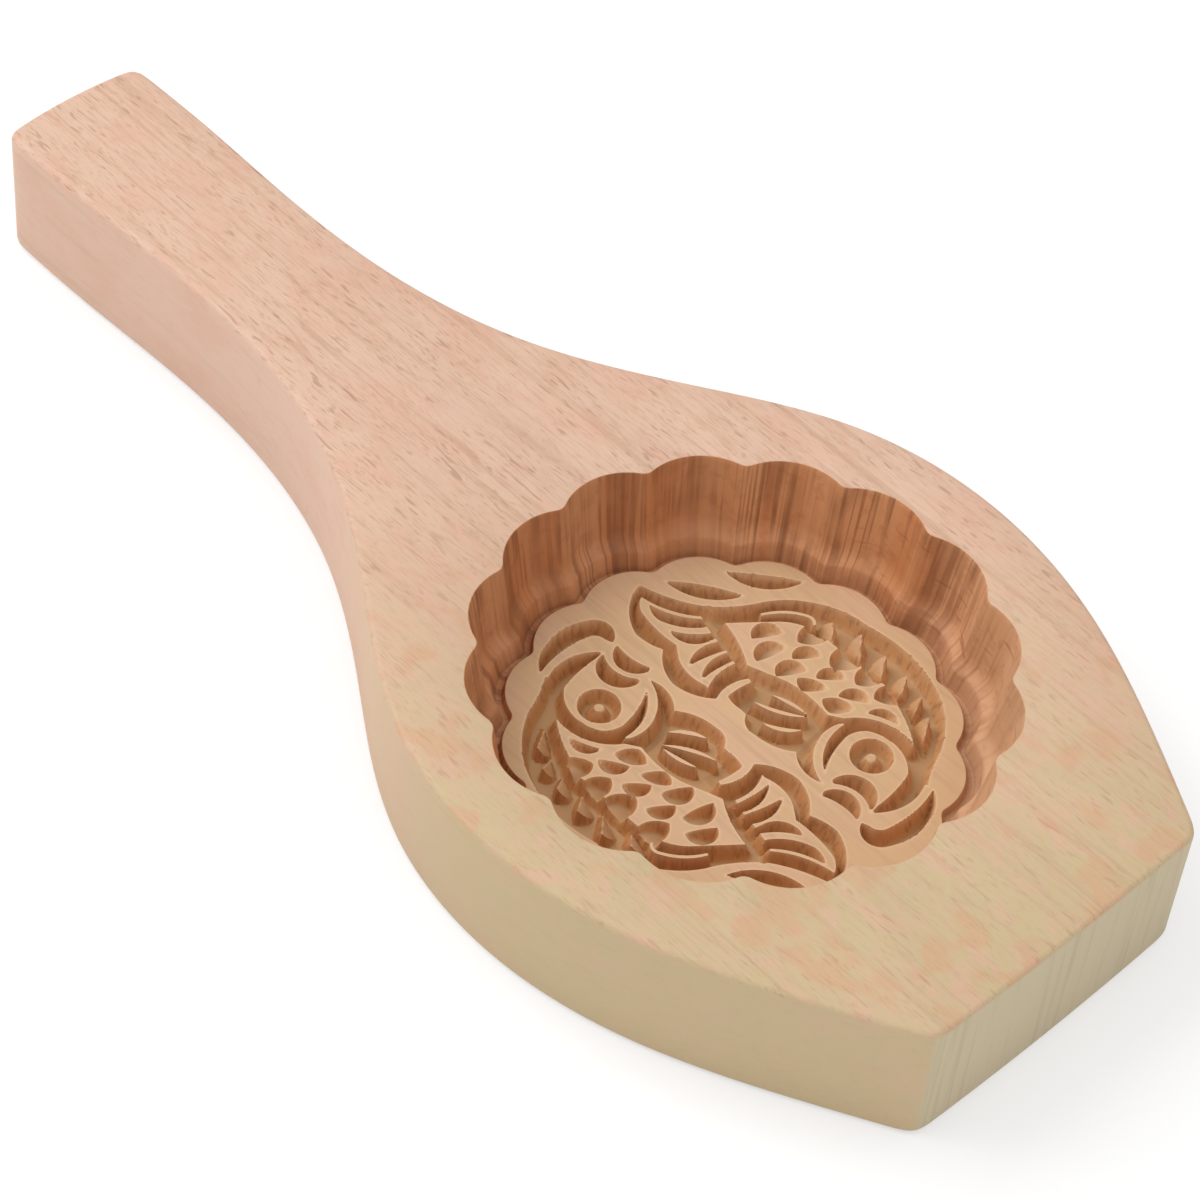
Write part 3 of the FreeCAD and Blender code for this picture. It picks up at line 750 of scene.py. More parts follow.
    def build(self) -> tuple[Array, Array, list[int], dict[Mark, Array]]:
        """The whole skin.

        Returns:
            Points (n, 3) in millimetres in the CAD frame, triangles (m, 3), the underside as one face,
            and a value of every mark for each point: share of the carving depth, closeness to the edge of
            a cut, inside the cavity, on the raised floor, on the top face, and the place on the tall wall
            straight out from the cavity's middle.
        """
        points, depth, edge_share = self.floor()
        n = self.cells + 1
        grid = np.arange(n * n).reshape(n, n)
        faces = [split_quads(points, grid[:-1, :-1], grid[1:, :-1], grid[1:, 1:], grid[:-1, 1:])]
        rim = self.rim_of_grid()
        angles = -math.pi / 4 + 2 * math.pi * np.arange(len(rim)) / len(rim)
        factor = Scallop(self.cavity).factor(angles)
        e, t = self.board.edge_round, self.board.thickness
        shift = np.array([self.board.cavity_at, 0, 0])
        level = np.ones(len(angles))
        rings = [
            np.column_stack([round_at(radius * factor, angles), level * (t - down)]) + shift
            for radius, down in self.wall_profile()
        ]
        edge = self.outline(angles)
        inward = inward_normals(edge)
        bends = np.radians([0, 30, 60, 90])
        lips = [(bend, t - e * (1 - math.cos(bend))) for bend in bends]
        lips += [(bend, e * (1 - math.cos(bend))) for bend in bends[::-1]]
        for bend, height in lips:
            rings.append(np.column_stack([edge + inward * e * (1 - math.sin(bend)), level * height]))
        points = np.vstack([points + shift] + rings)
        first = n * n
        loops = [rim] + [first + k * len(rim) + np.arange(len(rim)) for k in range(len(rings))]
        for low, high in zip(loops[:-1], loops[1:]):
            faces.append(split_quads(points, low, high, np.roll(high, -1), np.roll(low, -1)))
        rest = np.zeros(len(points) - first)
        below = t - points[:, 2]
        out = points[:, :2] - shift[:2]
        away = np.hypot(*out.T)
        inside = (away < self.cavity_reach) & (below > self.rim_band) & (below < t - self.underside_band)
        foot = out / np.maximum(away, 1.0)[:, None] * self.cavity.wall_foot_radius
        marks = {
            Mark.CARVED: np.concatenate([depth, rest]) / self.relief.sizes.groove,
            # Closeness to a cut's edge on the uncut floor, for the painted edge highlight.
            Mark.EDGE_HIGHLIGHT: np.concatenate([edge_share * (depth < self.uncut), rest]),
            Mark.INNER: inside.astype(float),
            Mark.FLOOR: np.concatenate([np.ones(first), rest]),
            Mark.TOP: (~inside & (below < self.top_band)).astype(float),
            Mark.RING: np.column_stack([foot, points[:, 2]]) * MM,
        }
        return points, np.vstack(faces), loops[-1][::-1].tolist(), marks


def spread(before: Array, after: Array, least: float) -> Array:
    """Undoes moves that brought two neighbours of a grid too close together.

    Args:
        before: Grid of points (n, m, 2).
        after: The same points moved.
        least: The smallest distance allowed.

    Returns:
        The moved grid, where of two neighbours closer than least the one that moved farther is put back.
    """
    went = np.hypot(*(after - before).transpose(2, 0, 1))
    back = np.zeros(went.shape, bool)
    for here, there in (
        ((slice(None, -1), slice(None)), (slice(1, None), slice(None))),
        ((slice(None), slice(None, -1)), (slice(None), slice(1, None))),
    ):
        close = np.hypot(*(after[here] - after[there]).transpose(2, 0, 1)) < least
        back[here] |= close & (went[here] > went[there])
        back[there] |= close & (went[there] >= went[here])
    return np.where(back[..., None], before, after)


def spline(at: Array, values: Array, wanted: Array) -> Array:
    """A smooth curve through points, with no bend at its two ends.

    Args:
        at: Run length of each point.
        values: Points (n, 2).
        wanted: Run lengths to work out.

    Returns:
        Array (len(wanted), 2): the natural cubic spline.
    """
    h = np.diff(at)
    n = len(at)
    rows = np.eye(n)
    inner = np.arange(1, n - 1)
    rows[inner, inner - 1], rows[inner, inner], rows[inner, inner + 1] = h[:-1], 2 * (h[:-1] + h[1:]), h[1:]
    slopes = np.diff(values, axis=0) / h[:, None]
    right = np.zeros_like(values)
    right[1:-1] = 6 * np.diff(slopes, axis=0)
    m = np.linalg.solve(rows, right)
    k = np.clip(np.searchsorted(at, wanted, side="right") - 1, 0, n - 2)
    t = (wanted - at[k])[:, None]
    hk = h[k][:, None]
    return (values[k] + t * (slopes[k] - hk * (2 * m[k] + m[k + 1]) / 6)
            + t ** 2 * m[k] / 2 + t ** 3 * (m[k + 1] - m[k]) / (6 * hk))


def round_corners(loop: Array, reach: float) -> Array:
    """Rounds the corners of a closed loop by averaging it along its length.

    Args:
        loop: Points (n, 2) once round.
        reach: Half width of the average, in millimetres.

    Returns:
        Evenly spaced points (4000, 2): the running mean of the loop over 2 * reach, taken twice.
    """
    closed = np.vstack([loop, loop[:1]])
    length = run_length(closed)
    count = 4000
    points = points_at(np.linspace(0, length[-1], count, endpoint=False), length, closed)
    width = max(int(round(2 * reach / (length[-1] / count))), 1)
    kernel = np.ones(width) / width
    kernel = np.convolve(kernel, kernel)
    padded = np.vstack([points[-len(kernel):], points, points[:len(kernel)]])
    smooth = np.stack([np.convolve(padded[:, i], kernel, mode="same") for i in (0, 1)], axis=1)
    return smooth[len(kernel):-len(kernel)]


def inward_normals(loop: Array) -> Array:
    """Unit normals pointing into a loop, square to the chord between the neighbours of each point.

    Args:
        loop: Points (n, 2), once round anticlockwise.

    Returns:
        Array (n, 2).
    """
    chord = np.roll(loop, -1, axis=0) - np.roll(loop, 1, axis=0)
    normal = np.stack([-chord[:, 1], chord[:, 0]], axis=1)
    return normal / np.hypot(*normal.T)[:, None]


def split_quads(points: Array, a: Array, b: Array, c: Array, d: Array) -> Array:
    """Cuts quads a-b-c-d into triangles along the diagonal whose ends lie closer in height.

    Args:
        points: All points (n, 3).
        a: Indices of the first corner of each quad.
        b: Second corners, going round.
        c: Third corners.
        d: Fourth corners.

    Returns:
        Triangles (2 * quads, 3).
    """
    a, b, c, d = (x.ravel() for x in (a, b, c, d))
    z = points[:, 2]
    along = np.abs(z[a] - z[c]) <= np.abs(z[b] - z[d])
    first = np.where(along[:, None], np.stack([a, b, c], 1), np.stack([a, b, d], 1))
    second = np.where(along[:, None], np.stack([a, c, d], 1), np.stack([b, c, d], 1))
    return np.vstack([first, second])


@dataclass(frozen=True)
class Grain:
    """A pattern of noise in the wood, and how strongly it shows.

    The scale is in cycles for each metre along X, Y and Z. The pattern is absent where the noise is at
    the first value of the rise, and has its full strength from the second on.
    """

    scale: Place
    detail: float
    rough: float
    rise: Span = (0.0, 1.0)
    strength: float = 1.0
    offset: Place = (0.0, 0.0, 0.0)


@dataclass
class Net:
    """A short way to lay out shader nodes."""

    tree: bpy.types.NodeTree

    def __post_init__(self) -> None:
        """Starts from an empty node tree."""
        self.tree.nodes.clear()

    def add(self, kind: str, **settings: object) -> bpy.types.Node:
        """Adds one node.

        Args:
            kind: Type of the node.
            **settings: Values of its properties, by name.

        Returns:
            The node.
        """
        node = self.tree.nodes.new(kind)
        for name, value in settings.items():
            setattr(node, name, value)
        return node

    def join(self, source: Value, target: Value) -> None:
        """Links an output to an input."""
        self.tree.links.new(source, target)

    def noise(self, place: Value, grain: Grain) -> Value:
        """The noise of a pattern, before its rise and strength.

        Args:
            place: Coordinates in metres.
            grain: The pattern.

        Returns:
            A value between 0 and 1 for each place.
        """
        moved = self.add("ShaderNodeMapping")
        moved.inputs["Scale"].default_value = grain.scale
        moved.inputs["Location"].default_value = grain.offset
        self.join(place, moved.inputs["Vector"])
        noise = self.add("ShaderNodeTexNoise")
        noise.inputs["Scale"].default_value = 1.0
        noise.inputs["Detail"].default_value = grain.detail
        noise.inputs["Roughness"].default_value = grain.rough
        self.join(moved.outputs["Vector"], noise.inputs["Vector"])
        return noise.outputs["Fac"]

    def ramp(self, value: Value, span: Span) -> Value:
        """0 at the start of a span and 1 at its end, smooth between and level beyond.

        Args:
            value: The value that runs through the span.
            span: Start and end, where the start may be the larger of the two.

        Returns:
            The value from 0 to 1.
        """
        node = self.add("ShaderNodeMapRange", interpolation_type="SMOOTHSTEP")
        node.inputs["From Min"].default_value, node.inputs["From Max"].default_value = span
        self.join(value, node.inputs["Value"])
        return node.outputs["Result"]

    def pattern(self, place: Value, grain: Grain) -> Value:
        """How strongly a pattern shows at each place."""
        return self.times(self.ramp(self.noise(place, grain), grain.rise), grain.strength)

    def mark(self, mark: Mark) -> Value:
        """One of the mesh's own values: a place for the ring mark, a number for the others."""
        output = "Vector" if mark is Mark.RING else "Fac"
        return self.add("ShaderNodeAttribute", attribute_name=mark.value).outputs[output]

    def maths(self, operation: str, first: Amount, second: Amount = 0.0) -> Value:
        """One sum of two values.

        Args:
            operation: Name of the sum.
            first: A socket or a number.
            second: A socket or a number, which a sum of one value leaves unused.

        Returns:
            The result.
        """
        node = self.add("ShaderNodeMath", operation=operation)
        for value, target in ((first, node.inputs[0]), (second, node.inputs[1])):
            if isinstance(value, bpy.types.NodeSocket):
                self.join(value, target)
            else:
                target.default_value = value
        return node.outputs[0]

    def times(self, value: Value, by: Amount) -> Value:
        """The value times another or a number."""
        return self.maths("MULTIPLY", value, by)

    def plus(self, value: Value, more: Amount) -> Value:
        """The value plus another or a number."""
        return self.maths("ADD", value, more)

    def less(self, value: Value, share: float = 1.0, whole: float = 1.0) -> Value:
        """The whole less a share of the value."""
        return self.maths("SUBTRACT", whole, self.times(value, share))

    def stain(self, base: Value, colour: Colour, amount: Value, *masks: Value) -> Value:
        """Lays a colour on a base.

        Args:
            base: The colour below.
            colour: The colour laid on it.
            amount: How much of it shows, from 0 to 1.
            *masks: Values that lower the amount where they are below 1.

        Returns:
            The blended colour.
        """
        for mask in masks:
            amount = self.times(amount, mask)
        return self.mix(amount, base, colour)

    def mix(self, share: Value, first: Paint, second: Paint) -> Value:
        """Blends two colours.

        Args:
            share: 0 for the first colour, 1 for the second.
            first: A socket or linear RGB.
            second: A socket or linear RGB.

        Returns:
            The blended colour.
        """
        node = self.add("ShaderNodeMix", data_type="RGBA")
        self.join(share, node.inputs[0])
        for colour, target in ((first, node.inputs[6]), (second, node.inputs[7])):
            if isinstance(colour, bpy.types.NodeSocket):
                self.join(colour, target)
            else:
                target.default_value = (*colour, 1.0)
        return node.outputs[2]


@dataclass(frozen=True)
class OuterFace:
    """Finish of the top, the sides and the ends, with colours in linear RGB.

    The spans run in metres towards the pale near side of the head, where the pink and the lines lose a
    part of their strength. The sides have a share of the lines that the top has. The rings rise with the
    distance of their noise from its middle value.
    """

    handle: Colour = (0.62, 0.415, 0.31)
    middle: Colour = (0.57, 0.388, 0.262)
    head: Colour = (0.505, 0.39, 0.225)
    pink: Colour = PINK
    fleck: Colour = (0.33, 0.17, 0.105)
    blotch: Colour = (0.56, 0.31, 0.18)
    line: Colour = LINE
    end: Colour = (0.50, 0.43, 0.29)
    end_line: Colour = (0.33, 0.27, 0.18)
    middle_span: Span = (-0.01, 0.035)
    head_span: Span = (0.02, 0.10)
    pale_span: Span = (0.0, 0.05)
    blush_span: Span = (0.0, 0.09)
    blush: float = 0.55
    blush_loss: float = 0.33
    calm_span: Span = (0.0, 0.06)
    calm_loss: float = 0.4
    side_share: float = 0.4
    end_facing: Span = (0.8, 0.95)
    end_share: float = 0.75
    patches: Grain = Grain((75, 120, 120), 3.0, 0.55, rise=(0.45, 0.66))
    spots: Grain = Grain((170, 300, 300), 2.0, 0.6, rise=(0.48, 0.66), strength=0.5, offset=(3.0, 8.0, 6.0))
    blots: Grain = Grain((150, 190, 190), 1.0, 0.5, rise=(0.53, 0.66), strength=0.5, offset=(12.0, 3.0, 9.0))
    lines: tuple[Grain, ...] = (
        Grain((14, 620, 620), 4.0, 0.65, rise=(0.5, 0.70), strength=0.45),
        Grain((380, 3200, 3200), 3.0, 0.65, rise=(0.48, 0.68), strength=0.4),
    )
    rings: Grain = Grain((7, 170, 170), 1.0, 0.5, rise=(0.007, 0.001), strength=0.22)
    dashes: tuple[Grain, ...] = (
        Grain((330, 1900, 1900), 0.0, 0.0, rise=(0.66, 0.78), strength=0.5, offset=(0.0, 0.0, 2.0)),
        Grain((561, 3230, 3230), 0.0, 0.0, rise=(0.65, 0.77), strength=0.35, offset=(5.0, 0.0, 2.0)),
    )
    dash_groups: tuple[Grain, ...] = (
        Grain((90, 140, 140), 1.0, 0.5, rise=(0.40, 0.55), offset=(7.0, 0.0, 5.0)),
        Grain((90, 140, 140), 1.0, 0.5, rise=(0.40, 0.55), offset=(7.0, 5.0, 5.0)),
    )
    rays: Grain = Grain((30, 700, 25), 3.0, 0.6, rise=(0.5, 0.72), strength=0.35, offset=(0.0, 3.0, 1.0))

    def colour(self, net: Net, place: Value, along: Value, facing: Value) -> Value:
        """Soft patches, grain lines along X and short flecks on top, and upright lines on the ends.

        Args:
            net: Node layout to add to.
            place: Object coordinates.
            along: How far towards the pale near side of the head, in metres.
            facing: X of the surface's normal, 1 or -1 on the ends.

        Returns:
            The colour socket.
        """
        top, pale = net.mark(Mark.TOP), net.ramp(along, self.pale_span)
        base = net.mix(net.ramp(along, self.middle_span), self.handle, self.middle)
        base = net.mix(net.ramp(along, self.head_span), base, self.head)
        blush = net.less(net.ramp(along, self.blush_span), self.blush_loss, self.blush)
        base = net.stain(base, self.pink, net.pattern(place, self.patches), blush)
        base = net.stain(base, self.pink, net.pattern(place, self.spots), top)
        base = net.stain(base, self.blotch, net.pattern(place, self.blots), pale, top)
        calm = net.less(net.ramp(along, self.calm_span), self.calm_loss)
        quiet = net.times(net.plus(net.times(top, 1 - self.side_share), self.side_share), calm)
        for grain in self.lines:
            base = net.stain(base, self.line, net.pattern(place, grain), quiet)
        from_middle = net.maths("ABSOLUTE", net.plus(net.noise(place, self.rings), -0.5))
        ring = net.times(net.ramp(from_middle, self.rings.rise), self.rings.strength)
        base = net.stain(base, self.fleck, ring, quiet)
        for dash, group in zip(self.dashes, self.dash_groups):
            base = net.stain(base, self.fleck, net.pattern(place, dash), net.pattern(place, group), top, calm)
        on_end = net.ramp(net.maths("ABSOLUTE", facing), self.end_facing)
        base = net.stain(base, self.end, net.times(on_end, self.end_share), pale)
        return net.stain(base, self.end_line, net.pattern(place, self.rays), on_end)


@dataclass(frozen=True)
class TallWall:
    """Finish of the wall, ledge and moat, with colours in linear RGB and spans in metres.

    The right part is paler and keeps fewer streaks. Painted shade darkens the left part along X and the low
    part along Z.
    """

    # The wall's red-brown: the cut end grain's own colour, darkened in part as painted shade of the deep
    # cavity.
    wood: Colour = (0.54, 0.21, 0.078)
    pale: Colour = (0.63, 0.31, 0.15)
    right: Colour = (0.60, 0.345, 0.195)
    dark: Colour = DARK
    right_span: Span = (0.035, 0.08)
    right_loss: float = 0.85
    least_streaks: float = 0.2
    nick_span: Span = (0.02, 0.05)
    # Painted shade: spans where the wall darkens to the left and below the ledge, and its strength.
    left_shade_span: Span = (0.03, 0.005)
    low_shade_span: Span = (0.0100, 0.0080)
    shade: float = 0.28
    broad: Grain = Grain((140, 140, 8), 2.0, 0.5, rise=(0.40, 0.62), strength=0.7, offset=(6.0, 1.0, 8.0))
    groups: Grain = Grain((110, 110, 60), 2.0, 0.6, rise=(0.36, 0.60), strength=0.8, offset=(9.0, 5.0, 2.0))
    streaks: tuple[Grain, ...] = (
        Grain((300, 300, 40), 0.0, 0.0, rise=(0.53, 0.68), strength=0.5, offset=(1.5, 2.5, 3.5)),
        Grain((850, 850, 40), 0.0, 0.0, rise=(0.53, 0.68), strength=0.65, offset=(4.5, 2.5, 3.5)),
        Grain((2000, 2000, 40), 0.0, 0.0, rise=(0.53, 0.68), strength=0.6, offset=(7.5, 2.5, 3.5)),
    )
    speckle: Grain = Grain((420, 420, 420), 3.0, 0.6, rise=(0.50, 0.66), strength=0.2, offset=(3.0, 6.0, 9.0))
    nicks: Grain = Grain((130, 130, 900), 2.0, 0.5, rise=(0.64, 0.70), strength=0.45, offset=(4.0, 4.0, 1.0))

    def colour(self, net: Net, place: Value, along: Value, up: Value) -> Value:
        """Red-brown with upright streaks, paler and torn to the right, with painted shade to the left and low
        down.

        Args:
            net: Node layout to add to.
            place: Object coordinates.
            along: Object X.
            up: Object Z.

        Returns:
            The colour socket.
        """
        right, ring = net.ramp(along, self.right_span), net.mark(Mark.RING)
        wall = net.mix(net.pattern(ring, self.broad), self.wood, self.pale)
        wall = net.mix(right, wall, self.right)
        groups = net.plus(net.pattern(ring, self.groups), self.least_streaks)
        left = net.less(right, self.right_loss)
        for streak in self.streaks:
            wall = net.stain(wall, self.dark, net.pattern(ring, streak), left, groups)
        wall = net.stain(wall, self.dark, net.pattern(place, self.speckle))
        wall = net.stain(wall, self.dark, net.pattern(ring, self.nicks), net.ramp(along, self.nick_span))
        # Painted shade: darker towards the left along X and below the ledge along Z.
        shade = net.maths("MAXIMUM", net.ramp(along, self.left_shade_span), net.ramp(up, self.low_shade_span))
        return net.stain(wall, self.dark, net.times(shade, self.shade))


@dataclass(frozen=True)
class CavityFace:
    """Finish inside the cavity, with colours in linear RGB.

    The cuts change colour over a span in metres across the board, darker on the near side as painted shade,
    and painted shade darkens their beds over a span of the depth.
    """

    floor: Colour = (0.54, 0.345, 0.187)
    pink: Colour = PINK
    line: Colour = LINE
    # Painted shade in the beds of the cuts, darker the deeper they are.
    bed_shade: Colour = (0.40, 0.222, 0.092)
    # Brown of the steep faces of the cuts: partly the cut grain's own redder tone, partly painted shade; the
    # near carp's brown is darker as painted shade from the near wall.
    cut_near_shaded: Colour = (0.51, 0.225, 0.076)
    cut_far: Colour = (0.57, 0.285, 0.118)
    dark: Colour = DARK
    # Painted highlight along the edges of the cuts, pale as if the edges caught the light.
    edge_highlight: Colour = (0.70, 0.48, 0.29)
    bed_depth: Span = (0.0, 0.8)
    bed_shade_share: float = 0.85
    cut_span: Span = (-0.012, 0.012)
    cut_share: float = 0.85
    wall_share: float = 0.95
    edge_highlight_share: float = 0.55
    patches: Grain = Grain((60, 90, 90), 3.0, 0.55, rise=(0.42, 0.64), strength=0.35, offset=(2.0, 9.0, 1.0))
    lines: Grain = Grain((60, 900, 900), 3.0, 0.6, rise=(0.45, 0.72), strength=0.45, offset=(1.0, 4.0, 2.0))
    fibre: Grain = Grain((1500, 1500, 9), 1.0, 0.5, rise=(0.48, 0.70), strength=0.45, offset=(4.5, 2.5, 3.5))
    tall_wall: TallWall = TallWall()

    def colour(self, net: Net, place: Value, axes: bpy.types.Node, steep: Value) -> Value:
        """Tan floor, warm brown cuts partly darkened as painted shade, painted highlights on their edges, and
        the tall wall.

        Args:
            net: Node layout to add to.
            place: Object coordinates.
            axes: Node that gives object X, Y and Z.
            steep: 1 where the surface is steep, 0 where it lies flat.

        Returns:
            The colour socket.
        """
        along, across, up = (axes.outputs[axis] for axis in "XYZ")
        base = net.mix(net.pattern(place, self.patches), self.floor, self.pink)
        base = net.stain(base, self.line, net.pattern(place, self.lines))
        # Painted shade: the beds of the cuts darken with their depth.
        carved = net.ramp(net.mark(Mark.CARVED), self.bed_depth)
        base = net.stain(base, self.bed_shade, net.times(carved, self.bed_shade_share))
        # Steep faces of the cuts turn brown, partly the cut grain's colour and partly painted shade, and
        # darker on the near side as painted shade.
        cuts = net.mix(net.ramp(across, self.cut_span), self.cut_near_shaded, self.cut_far)
        cuts = net.stain(cuts, self.dark, net.pattern(place, self.fibre))
        base = net.mix(net.times(steep, self.cut_share), base, cuts)
        off_floor = net.times(net.less(net.mark(Mark.FLOOR)), self.wall_share)
        base = net.mix(off_floor, base, self.tall_wall.colour(net, place, along, up))
        # Painted highlight on the edges of the cuts.
        return net.stain(base, self.edge_highlight, net.times(net.mark(Mark.EDGE_HIGHLIGHT), self.edge_highlight_share))


@dataclass(frozen=True)
class Beech:
    """The oiled beech of the whole board; the bump distance is in metres."""

    outside: OuterFace = OuterFace()
    inside: CavityFace = CavityFace()
    lean: float = 0.9
    steep_facing: Span = (0.45, 0.85)
    roughness: float = 0.6
    specular: float = 0.35
    pores: Grain = Grain((210, 3000, 3000), 3.0, 0.65, strength=0.5)
    soft_waves: Grain = Grain((330, 1250, 1250), 2.0, 0.5, strength=0.5)
    bump_strength: float = 0.3
    bump_distance: float = 0.00015

    def material(self) -> bpy.types.Material:
        """Makes the material, a solid wood whose patterns run in object coordinates.

        Returns:
            The material.
        """
        made = bpy.data.materials.new("oiled_beech")
        made.use_nodes = True
        net = Net(made.node_tree)
        place = net.add("ShaderNodeTexCoord").outputs["Object"]
        axes, facing = net.add("ShaderNodeSeparateXYZ"), net.add("ShaderNodeSeparateXYZ")
        net.join(place, axes.inputs[0])
        net.join(net.add("ShaderNodeNewGeometry").outputs["Normal"], facing.inputs[0])
        along = net.maths("SUBTRACT", axes.outputs["X"], net.times(axes.outputs["Y"], self.lean))
        steep = net.less(net.ramp(facing.outputs["Z"], self.steep_facing))
        outside = self.outside.colour(net, place, along, facing.outputs["X"])
        inside = self.inside.colour(net, place, axes, steep)
        shader = net.add("ShaderNodeBsdfPrincipled")
        shader.inputs["Roughness"].default_value = self.roughness
        shader.inputs["Specular IOR Level"].default_value = self.specular
        net.join(net.mix(net.mark(Mark.INNER), outside, inside), shader.inputs["Base Color"])
        pores, waves = (net.times(net.noise(place, g), g.strength) for g in (self.pores, self.soft_waves))
        bump = net.add("ShaderNodeBump")
        bump.inputs["Strength"].default_value = self.bump_strength
        bump.inputs["Distance"].default_value = self.bump_distance
        net.join(net.plus(pores, waves), bump.inputs["Height"])
        net.join(bump.outputs["Normal"], shader.inputs["Normal"])
        net.join(shader.outputs["BSDF"], net.add("ShaderNodeOutputMaterial").inputs["Surface"])
        return made


@dataclass
class MouldBoard:
    """The whole board as one visible piece."""

    board: Board = field(default_factory=Board)
    cavity: Cavity = field(default_factory=Cavity)
    carving: Carving = field(default_factory=Carving)
    finish: Beech = field(default_factory=Beech)
    cells: int = 260
    quick_cells: int = 160
    sharp_angle: float = 38.0

    def mesh(self) -> bpy.types.Mesh:
        """Makes the closed skin, with the marks of the skin as attributes.

        Returns:
            The mesh, in metres.
        """
        cells = self.cells
        skin = Skin(self.board, self.cavity, Relief(self.carving), cells)
        points, triangles, underside, marks = skin.build()
        mesh = bpy.data.meshes.new("mould_board_skin")
        mesh.from_pydata((points * MM).tolist(), [], triangles.tolist() + [underside])
        mesh.validate()
        mesh.update()
        for mark, values in marks.items():
            kind, slot = ("FLOAT_VECTOR", "vector") if values.ndim == 2 else ("FLOAT", "value")
            layer = mesh.attributes.new(mark.value, kind, "POINT")
            layer.data.foreach_set(slot, values.astype(np.float32).ravel())
        mesh.polygons.foreach_set("use_smooth", np.ones(len(mesh.polygons), dtype=bool))
        mesh.set_sharp_from_angle(angle=math.radians(self.sharp_angle))
        return mesh

    def build(self) -> bpy.types.Object:
        """Adds the board to the scene in place of the CAD node.

        Returns:
            The board.
        """
        piece = put_in_scene("mould_board_beech", self.mesh())
        piece.data.materials.append(self.finish.material())
        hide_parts(NODE)
        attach(piece, "root")
        LOG.info("%s: %d faces", piece.name, len(piece.data.polygons))
        return piece


@dataclass(frozen=True)
class Lamp:
    """A square soft white light: its name, its place and side in metres, and its power in watts."""

    name: str
    at: Place
    size: float
    power: float


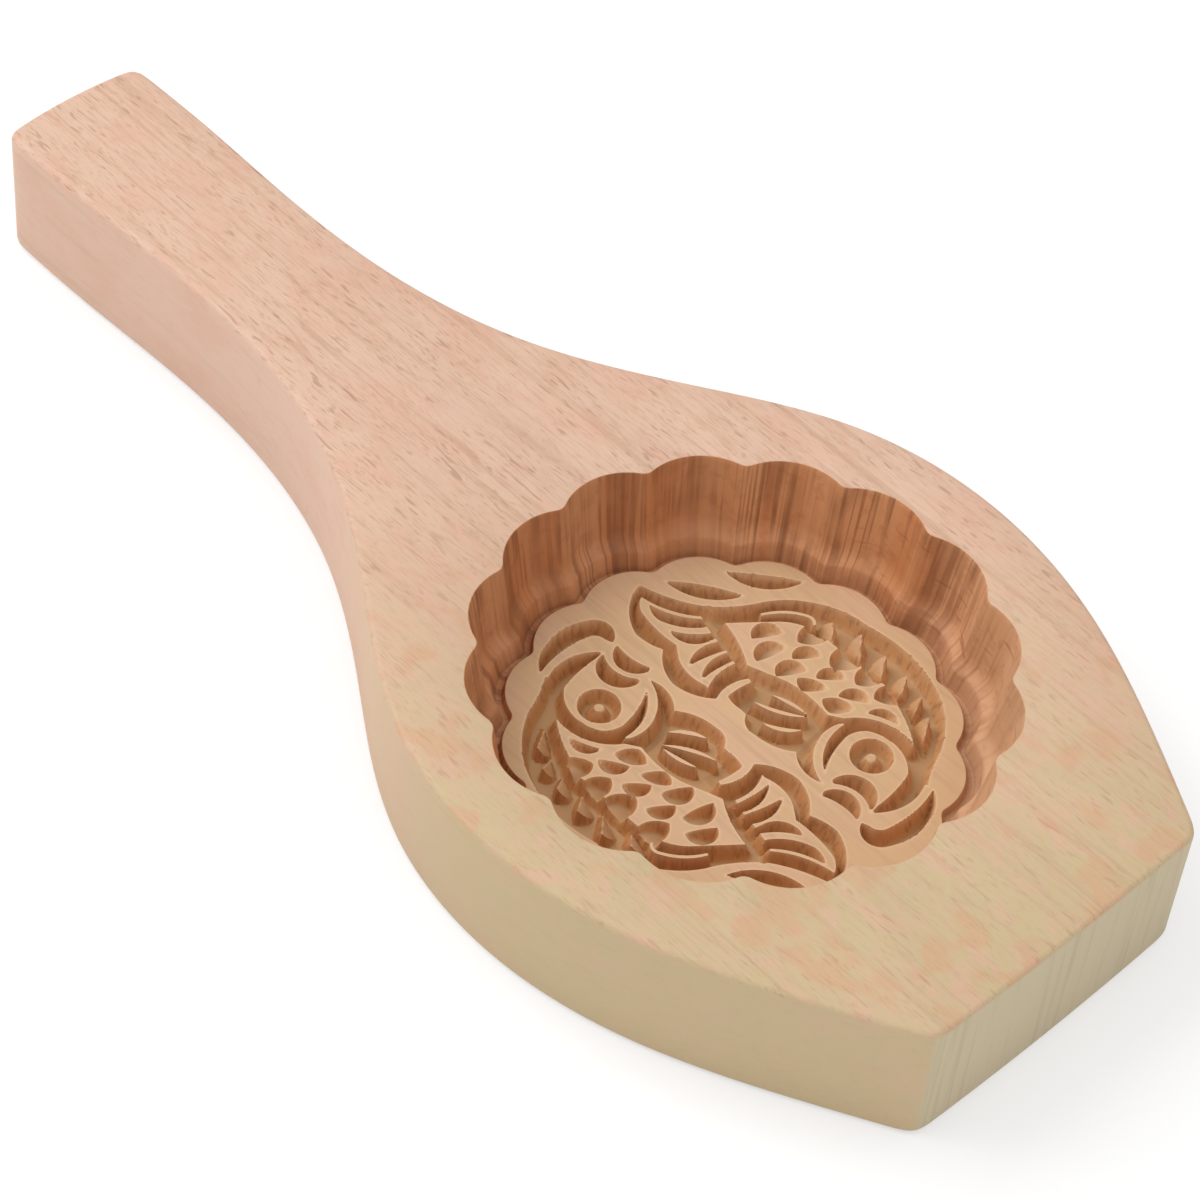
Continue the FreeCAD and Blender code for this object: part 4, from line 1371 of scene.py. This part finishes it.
@dataclass(frozen=True)
class Studio:
    """The pale floor, soft lights and camera of the photo, in metres, with lens and sensor in millimetres."""

    camera_at: Place = (0.26515, -0.27680, 0.43167)
    right: Place = (0.68533, 0.72468, 0.07190)
    forward: Place = (-0.44255, 0.49286, -0.74916)
    lens: float = 114.63
    sensor: float = 36.0
    clip: Span = (0.01, 20.0)
    floor_colour: Colour = (0.92, 0.92, 0.92)
    floor_size: float = 12.0
    floor_gap: float = 0.0002
    floor_white: float = 0.5
    world: float = 0.5
    lit_point: Place = (0.03, 0.0, 0.0)
    lamps: tuple[Lamp, ...] = (
        Lamp("key_light", (-0.95, -0.40, 1.15), 1.3, 20.0),
        Lamp("top_light", (0.3, 0.3, 1.6), 1.2, 6.5),
        Lamp("front_light", (1.3, -0.5, 0.6), 1.0, 5.0),
    )

    def camera(self) -> None:
        """The camera, turned so that its right and forward directions are the photo's."""
        data = bpy.data.cameras.new("camera")
        data.lens, data.sensor_width = self.lens, self.sensor
        data.clip_start, data.clip_end = self.clip
        eye = put_in_scene("camera", data)
        forward = Vector(self.forward).normalized()
        right = (Vector(self.right) - forward * Vector(self.right).dot(forward)).normalized()
        turn = Matrix((right, right.cross(forward), -forward)).transposed()
        eye.matrix_world = Matrix.Translation(self.camera_at) @ turn.to_4x4()
        bpy.context.scene.camera = eye

    def light(self, lamp: Lamp) -> None:
        """Adds a light that faces the cavity.

        Args:
            lamp: The light.
        """
        data = bpy.data.lights.new(lamp.name, "AREA")
        data.shape, data.size, data.energy = "SQUARE", lamp.size, lamp.power
        made = put_in_scene(lamp.name, data)
        made.location = lamp.at
        towards = Vector(self.lit_point) - Vector(lamp.at)
        made.rotation_euler = towards.to_track_quat("-Z", "Y").to_euler()

    def white_to_camera(self, net: Net, kind: str, plain: bpy.types.Node, share: float) -> Value:
        """Blends a plain shader with white of strength 1, which only camera rays see.

        Args:
            net: Node layout to add to.
            kind: Node that shines white.
            plain: Shader for every other ray.
            share: How much of the white a camera ray gets.

        Returns:
            The blended shader socket.
        """
        white = net.add(kind)
        white.inputs["Strength"].default_value = 1.0
        white.inputs["Color"].default_value = (1.0, 1.0, 1.0, 1.0)
        blend = net.add("ShaderNodeMixShader")
        net.join(net.times(net.add("ShaderNodeLightPath").outputs["Is Camera Ray"], share), blend.inputs[0])
        net.join(plain.outputs[0], blend.inputs[1])
        net.join(white.outputs[0], blend.inputs[2])
        return blend.outputs[0]

    def floor(self) -> None:
        """A wide pale floor under the board, half plain white to the camera so that shadows stay faint."""
        size, low = self.floor_size, -self.floor_gap
        mesh = bpy.data.meshes.new("floor")
        corners = [(-size, -size, low), (size, -size, low), (size, size, low), (-size, size, low)]
        mesh.from_pydata(corners, [], [(0, 1, 2, 3)])
        ground = put_in_scene("floor", mesh)
        made = bpy.data.materials.new("pale_floor")
        made.use_nodes = True
        net = Net(made.node_tree)
        plain = net.add("ShaderNodeBsdfDiffuse")
        plain.inputs["Color"].default_value = (*self.floor_colour, 1.0)
        seen = self.white_to_camera(net, "ShaderNodeEmission", plain, self.floor_white)
        net.join(seen, net.add("ShaderNodeOutputMaterial").inputs["Surface"])
        mesh.materials.append(made)

    def surroundings(self) -> None:
        """White to the camera, soft grey light to everything else."""
        world = bpy.data.worlds.new("world")
        bpy.context.scene.world = world
        world.use_nodes = True
        net = Net(world.node_tree)
        soft = net.add("ShaderNodeBackground")
        soft.inputs["Strength"].default_value = self.world
        soft.inputs["Color"].default_value = (1.0, 1.0, 1.0, 1.0)
        seen = self.white_to_camera(net, "ShaderNodeBackground", soft, 1.0)
        net.join(seen, net.add("ShaderNodeOutputWorld").inputs["Surface"])

    def build(self) -> None:
        """Adds everything round the object and sets plain colour handling."""
        self.surroundings()
        self.floor()
        for lamp in self.lamps:
            self.light(lamp)
        self.camera()
        bpy.context.scene.view_settings.view_transform = "Standard"


def put_in_scene(name: str, data: bpy.types.ID) -> bpy.types.Object:
    """Makes an object and adds it to the scene.

    Args:
        name: Its name.
        data: Its mesh, light or camera.

    Returns:
        The object.
    """
    made = bpy.data.objects.new(name, data)
    bpy.context.scene.collection.objects.link(made)
    return made


def main() -> None:
    """Builds the board and the studio."""
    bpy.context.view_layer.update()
    MouldBoard().build()
    Studio().build()


if __name__ == "__main__":
    main()
